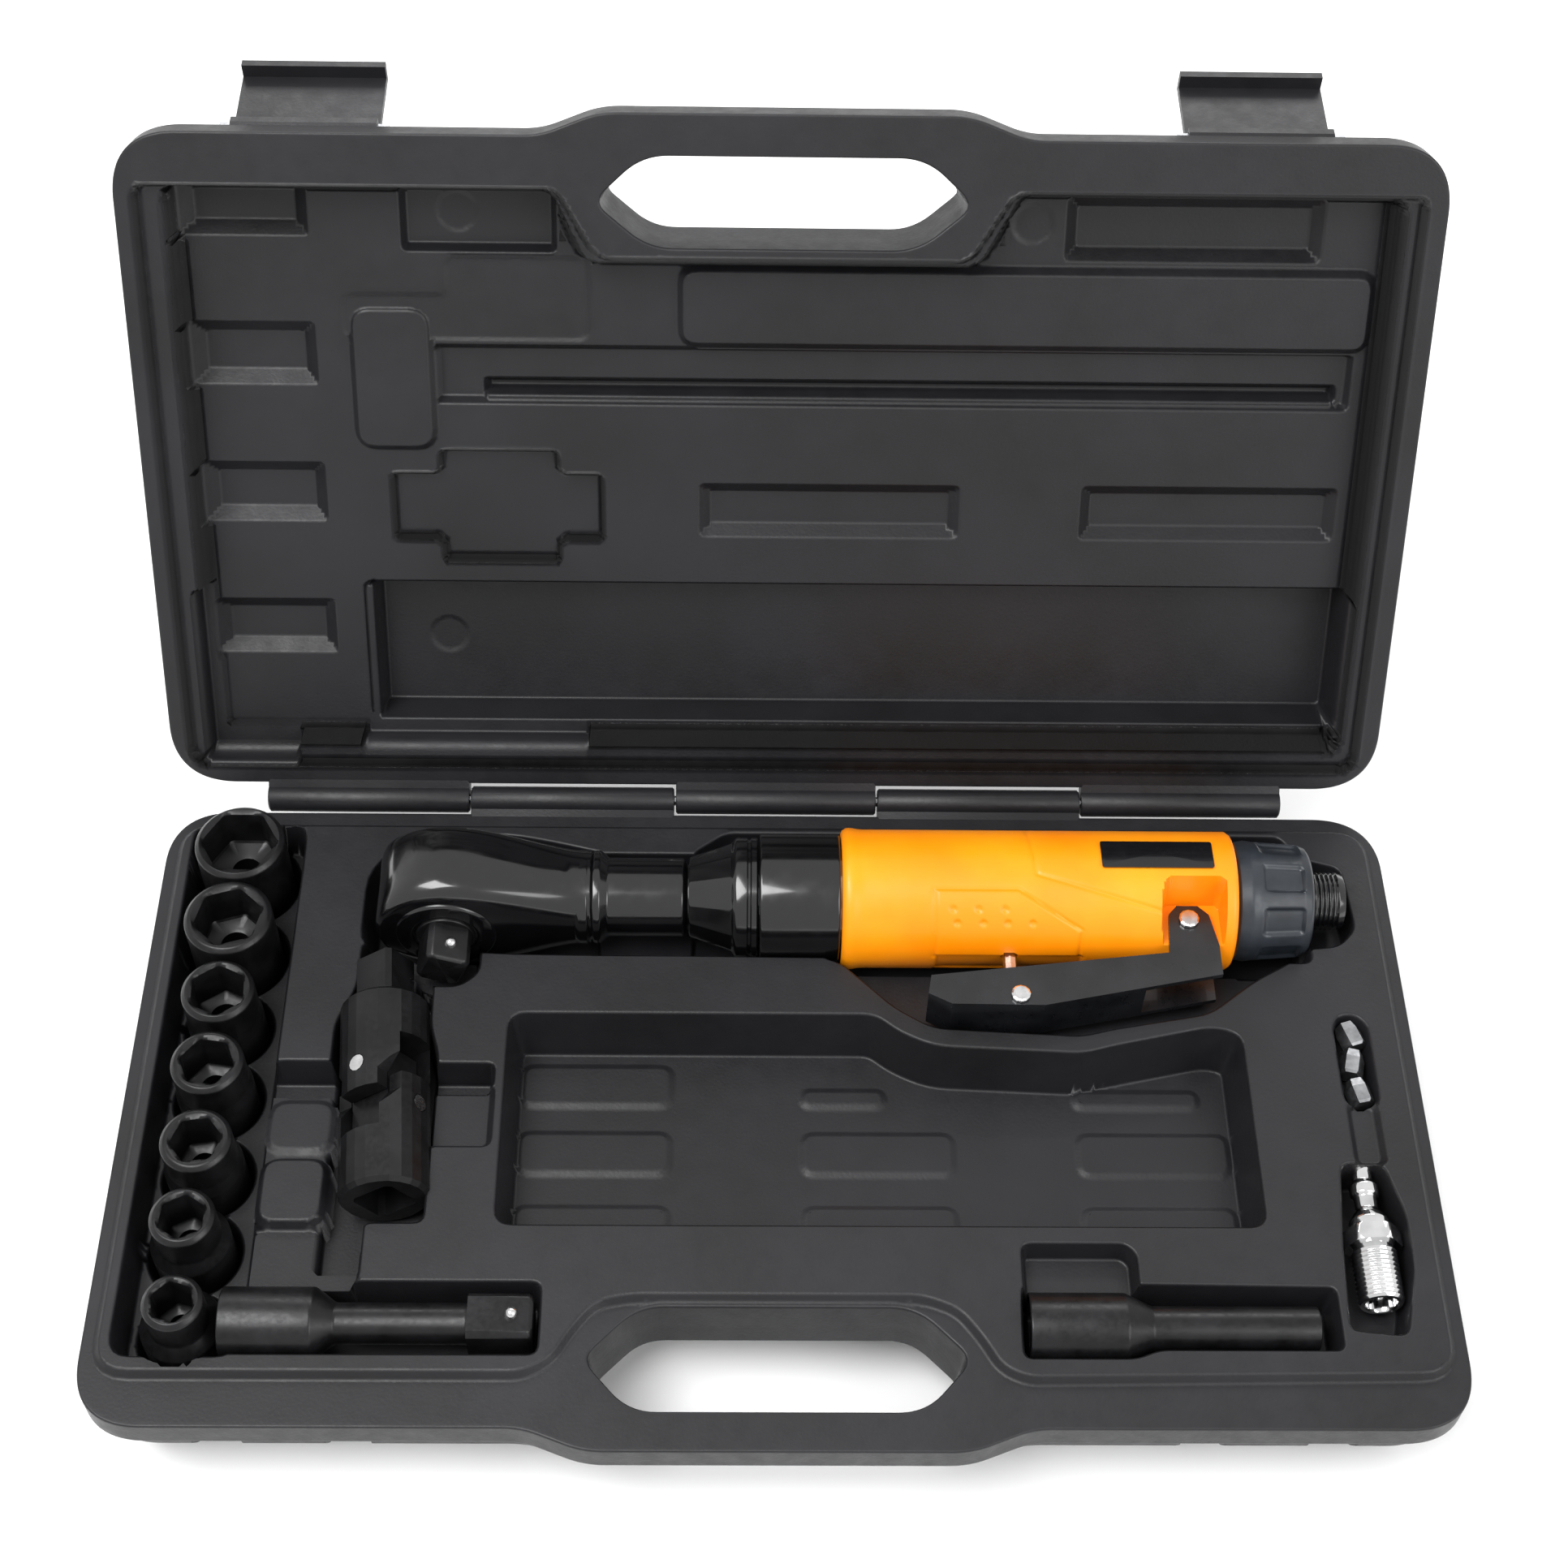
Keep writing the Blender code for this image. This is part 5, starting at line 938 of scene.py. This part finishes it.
def nut_and_housing():
    """The clamp nut's faceted cone and collar, and the gloss housing."""
    rows = [(9.7, -25.0, 0.0), (11.5, -25.2, 0.6), (11.9, -24.8, 1.0), (15.8, -13.4, 1.0), (16.4, -12.7, 0.5),
            (17.2, -12.0, 0.0), (17.4, -11.5, 0.0), (17.4, -8.6, 0.0), (16.9, -8.2, 0.0), (16.9, -7.6, 0.0),
            (17.4, -7.2, 0.0), (17.4, -5.8, 0.0), (17.0, -5.4, 0.0), (9.7, -5.4, 0.0)]
    made = skin("clamp_collar", [nut_section(*row) for row in rows], WRENCH, closed_rows=True, caps=False)
    dress(made, gloss_black, "wrench", "clamp_nut")
    outer = [(12.0, 0.4), (12.0, -4.9), (18.6, -4.9), (18.6, 18.1), (15.7, 18.1), (15.7, 0.4)]
    made = skin("housing_sleeve", [ring(r, h) for r, h in rounded(outer, 0.7)], WRENCH, closed_rows=True, caps=False)
    dress(made, gloss_black, "wrench", "front_housing")


nut_and_housing()


def near_path(x, s, path):
    """Distance of each (x, s) point to a polyline."""
    best = np.full(x.shape, 1e6)
    for (ax, ay), (bx, by) in zip(path, path[1:]):
        dx, dy = bx - ax, by - ay
        t = np.clip(((x - ax) * dx + (s - ay) * dy) / (dx * dx + dy * dy), 0, 1)
        best = np.minimum(best, np.hypot(x - ax - t * dx, s - ay - t * dy))
    return best


def grip_piece():
    """The moulded grip. The radius is a soft circle, lowered along the panel lines and at the dimples; the
    plan outline of the lever's slot limits the height, and the stem's hole the depth."""
    x0, x1, r, columns = 18.6, 131.4, 20.1, 288
    x = np.concatenate([x0 + np.array([0.0, 0.1, 0.35, 0.8]), np.arange(x0 + 1.3, x1 - 1.2, 0.6),
                        x1 - np.array([1.2, 0.6, 0.2, 0.0])])
    inset = np.interp(x, [x0, x0 + 0.35, x0 + 1.3, x1 - 1.2, x1 - 0.2, x1], [1.3, 0.5, 0.0, 0.0, 0.7, 1.2])
    inset -= 0.45 * np.exp(-((x - x0 - 2.5) / 2.0) ** 2)
    front = np.arange(columns) * math.tau / columns
    along, turn = np.meshgrid(x, front, indexing="ij")
    s = np.degrees(np.mod(turn + math.pi, math.tau) - math.pi) * math.pi / 180 * r
    size = r - np.broadcast_to(inset[:, None], s.shape)
    degrees = math.pi / 180 * r
    first = [(72.3, -54 * degrees), (72.3, -34 * degrees), (73.8, 13 * degrees), (111.4, 45 * degrees)]
    second = [(45.0, 90 * degrees), (44.7, 26 * degrees), (68.6, 26 * degrees), (86.9, 60 * degrees),
              (86.4, 90 * degrees)]
    for path, deep, wide in ((first, 0.38, 0.55), (second, 0.30, 0.5)):
        size = size - deep * np.exp(-(near_path(along, s, path) / wide) ** 2)
    panel = np.array([[45.0, 88 * degrees], [44.7, 26 * degrees], [68.6, 26 * degrees], [86.9, 60 * degrees],
                      [86.4, 88 * degrees]])[::-1]
    inside, _ = signed_distance(np.column_stack([along.ravel(), s.ravel()]), panel)
    size = size + 0.35 * np.clip(-inside.reshape(s.shape) / 0.8, 0, 1)
    dimples = [(50.0, 42.6), (57.2, 42.6), (64.7, 42.6), (51.2, 54.0), (58.6, 54.0), (65.6, 54.0), (72.7, 54.0)]
    for dx, da in dimples:
        size = size - 0.55 * np.exp(-(np.hypot(along - dx, s - da * degrees) / 0.95) ** 4)
    ledge = np.clip((s - 87 * degrees) / 0.8, 0, 1) * np.clip((along - 45.5) / 0.8, 0, 1)
    size = size - 0.9 * ledge * np.clip((88.0 - along) / 0.8, 0, 1) * (s < 130 * degrees)
    y, z = -size * np.sin(turn), size * np.cos(turn)
    slot = np.array([(110.0, 134.0), (127.4, 134.0), (127.4, 154.6), (111.2, 154.6), (110.0, 151.0)])
    plan = np.column_stack([along.ravel(), y.ravel() + WRENCH_Y])
    beside, _ = signed_distance(plan, rounded(slot, 2.0, 3))
    limit = 5.6 + 18.6 * np.clip(beside.reshape(s.shape) / 0.5, 0, 1)
    z = np.clip(z, -limit, limit)
    stem = (np.hypot(along - 66.8, z) < 2.6) & (y < 0)
    y = np.where(stem, -2.4, y)
    made = skin("grip_body", np.stack([y, z, along], 2), WRENCH)
    dress(made, orange, "wrench", "grip_shell")


grip_piece()


def label_piece():
    """The plain name plate, a thin film with rounded corners over the top of the grip."""
    r, lean, half = 20.35, math.radians(6.0), 4.8
    outline = rounded(box_plan(92.5, 124.5, -half, half), 0.8, 5)
    centre = outline.mean(0)
    rows = []
    for share, lift in ((0.0, 0.55), (1.0, 0.55), (1.0, 0.0), (0.0, 0.0)):
        flat = centre + (outline - centre) * (share if share else 0.001)
        turn = flat[:, 1] / r + lean
        rows.append(np.column_stack([(r + lift) * np.sin(turn), (r + lift) * np.cos(turn), flat[:, 0]]))
    steps = [rows[0] + (rows[1] - rows[0]) * t for t in np.linspace(0, 1, 12)]
    curved = []
    for k, row in enumerate(steps + [rows[2], rows[3]]):
        if k < 12:
            reach = np.hypot(row[:, 0], row[:, 1])
            row = np.column_stack([row[:, 0] * (r + 0.55) / reach, row[:, 1] * (r + 0.55) / reach, row[:, 2]])
        curved.append(row)
    made = skin("label_plate", curved, WRENCH, caps=False)
    dress(made, label_black, "wrench", "grip_label")


label_piece()


def rear_pieces():
    """The exhaust deflector with its grip flats, and the threaded air inlet."""
    x = np.concatenate([[132.0, 132.2, 132.7], np.arange(133.4, 153.0, 0.5), [153.3, 153.8, 154.0]])
    radius = np.interp(x, [132.0, 132.7, 136.0, 138.0, 151.0, 153.3, 154.0], [16.2, 17.1, 17.6, 17.3, 16.4, 15.6, 14.6])
    angle = np.arange(288) * math.tau / 288
    along, turn = np.meshgrid(x, angle, indexing="ij")
    flats = 8
    off = (np.mod(turn + 0.2, math.tau / flats) - math.pi / flats) * 17.0
    box = np.maximum(np.abs(off) - 3.1, np.abs(along - 145.2) - 4.7)
    corner = np.hypot(np.maximum(np.abs(off) - 3.1, 0), np.maximum(np.abs(along - 145.2) - 4.7, 0))
    away = np.where(box > 0, corner, box)
    size = radius[:, None] - 1.15 * ease((1.6 - away) / 1.3)
    rows = np.stack([size * np.cos(turn), size * np.sin(turn), along], 2)
    inner = np.stack([ring(9.2, 154.0, steps=288), ring(9.2, 132.0, steps=288)])
    made = skin("deflector_body", np.concatenate([rows, inner]), WRENCH, closed_rows=True, caps=False)
    dress(made, slate, "deflector", "exhaust_deflector")
    outer = [(4.1, 119.0), (4.1, 131.8), (8.8, 131.9), (8.8, 154.4), (8.1, 154.8)]
    rows = [ring(a, h) for a, h in profile_of(outer + threaded(8.5, 156.0, 163.8, 1.34, 0.5) + [(7.8, 164.6),
                                              (6.2, 164.6)], 0.12)]
    rows += [ring(5.9, 164.0), ring(5.9, 156.2), ring(2.6, 156.0), ring(2.6, 119.2)]
    made = skin("inlet_body", rows, WRENCH, closed_rows=True, caps=False)
    dress(made, gloss_black, "wrench", "air_inlet")


rear_pieces()


# ---------------------------------------------------------------- hinge knuckles and model pieces


def knuckle(name, x0, x1, way, place, body):
    """A hinge knuckle: a barrel on an arm, drawn across and carried along the hinge."""
    turn = np.radians(np.linspace(172.0, -104.0, 30))
    arc = [(HINGE[1] + 4.0 * math.cos(t), way * 4.0 * math.sin(t)) for t in turn]
    outline = np.array([(190.6, -0.35 * way)] + arc + [(190.6, -7.8 * way)])
    middle = np.array([195.4, -2.6 * way])
    rows = []
    for x, share in ((x0, 0.93), (x0 + 0.5, 1.0), (x1 - 0.5, 1.0), (x1, 0.93)):
        across = middle + (outline - middle) * share
        rows.append(np.column_stack([np.full(len(across), x), across]))
    made = skin(name, rows, place)
    made.data.materials.append(plastic)
    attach(made, body)


for order, (x0, x1) in enumerate(((-91.4, -30.6), (30.6, 91.4))):
    knuckle(f"base_knuckle_{order + 1}", x0, x1, 1, CASE, "case")
for order, (x0, x1) in enumerate(((-152.0, -92.0), (-30.0, 30.0), (92.0, 152.0))):
    knuckle(f"lid_knuckle_{order + 1}", x0, x1, -1, LID, "lid")


def softened(node_name, finish, width):
    """A piece of the model itself, with its edges broken and its finish."""
    piece = frame["nodes"][node_name]
    piece.data.materials.clear()
    piece.data.materials.append(finish)
    if width:
        edge = piece.modifiers.new("soft edges", "BEVEL")
        edge.width = width * MM
        edge.segments = 3
        edge.limit_method = "ANGLE"
        edge.angle_limit = math.radians(40)
        edge.harden_normals = True


for node_names, finish, width in (
        (("latch_left", "latch_right"), plastic, 0.55),
        (("ujoint_square_end", "ujoint_socket_end", "ujoint_block"), black_oxide, 0.35),
        (("throttle_lever",), lever_black, 0.4),
        (("lever_pivot_pin", "lever_cross_pin", "valve_stem", "ujoint_pin_socket_side", "ujoint_pin_square_side"),
         bright, 0.25),
        (("driver_bit_1", "driver_bit_2", "driver_bit_3", "reverse_knob", "hinge_pin", "latch_pin_left",
          "latch_pin_right"), ground_steel, 0.25),
        (("ring_gear", "motor_plate_front", "motor_plate_rear", "motor_cylinder", "motor_rotor", "crankshaft",
          "planet_gear_1", "planet_gear_2", "planet_gear_3", "ratchet_yoke", "ratchet_pawl"), ground_steel, 0.0)):
    for node_name in node_names:
        softened(node_name, finish, width)




# ---------------------------------------------------------------- floor, light and camera


def stage():
    """A pale floor and a pale world, and soft panels of light."""
    floor = bpy.data.objects.new("floor", bpy.data.meshes.new("floor"))
    floor.data.from_pydata([(-3, -3, 0), (3, -3, 0), (3, 3, 0), (-3, 3, 0)], [], [(0, 1, 2, 3)])
    bpy.context.scene.collection.objects.link(floor)
    paper, tree, shader, where = surface("studio_paper", {"Roughness": 0.9, "Base Color": linear("#f4f4f4")})
    floor.data.materials.append(paper)
    world = bpy.data.worlds.new("studio")
    world.use_nodes = True
    world.node_tree.nodes["Background"].inputs["Color"].default_value = (1.0, 1.0, 1.0, 1.0)
    world.node_tree.nodes["Background"].inputs["Strength"].default_value = 0.85
    bpy.context.scene.world = world
    bpy.context.scene.view_settings.view_transform = "Standard"
    for name, at, aim, size, power in (("key", (-0.5, -0.3, 1.3), (0.0, 0.0, 0.05), (0.9, 0.7), 19.0),
                                       ("fill", (0.9, -0.7, 0.9), (0.0, 0.0, 0.05), (0.8, 0.8), 8.0),
                                       ("back", (0.1, 1.1, 0.9), (0.0, 0.1, 0.1), (1.2, 0.4), 8.0)):
        lamp = bpy.data.lights.new(name, "AREA")
        lamp.shape = "RECTANGLE"
        lamp.size, lamp.size_y = size
        lamp.energy = power
        holder = bpy.data.objects.new(name, lamp)
        bpy.context.scene.collection.objects.link(holder)
        holder.location = at
        holder.rotation_euler = (Vector(at) - Vector(aim)).to_track_quat("Z", "Y").to_euler()


def camera():
    """A 57 mm view from the front, 53 degrees down."""
    made = bpy.data.objects.new("camera", bpy.data.cameras.new("camera"))
    bpy.context.scene.collection.objects.link(made)
    made.data.lens = 57.45
    made.data.sensor_width = 36.0
    made.data.clip_start = 0.01
    pitch, yaw, roll = [math.radians(a) for a in (53.02, -1.60, 1.68)]
    forward = np.array([0, math.cos(pitch), -math.sin(pitch)])
    upward = np.array([0, math.sin(pitch), math.cos(pitch)])
    across = np.stack([np.array([1.0, 0, 0]), -upward, forward])
    about_z = np.array([[math.cos(yaw), -math.sin(yaw), 0], [math.sin(yaw), math.cos(yaw), 0], [0, 0, 1]])
    about_sight = np.array([[math.cos(roll), -math.sin(roll), 0], [math.sin(roll), math.cos(roll), 0], [0, 0, 1]])
    rows = about_sight @ across @ about_z.T
    turn = np.eye(4)
    turn[:3, :3] = np.stack([rows[0], -rows[1], -rows[2]], 1)
    place = CASE @ moved(-10.2, -251.3, 606.2)
    made.matrix_world = Matrix.Translation(place.translation * MM) @ Matrix(turn.tolist())
    bpy.context.scene.camera = made


stage()
camera()
bpy.context.view_layer.update()
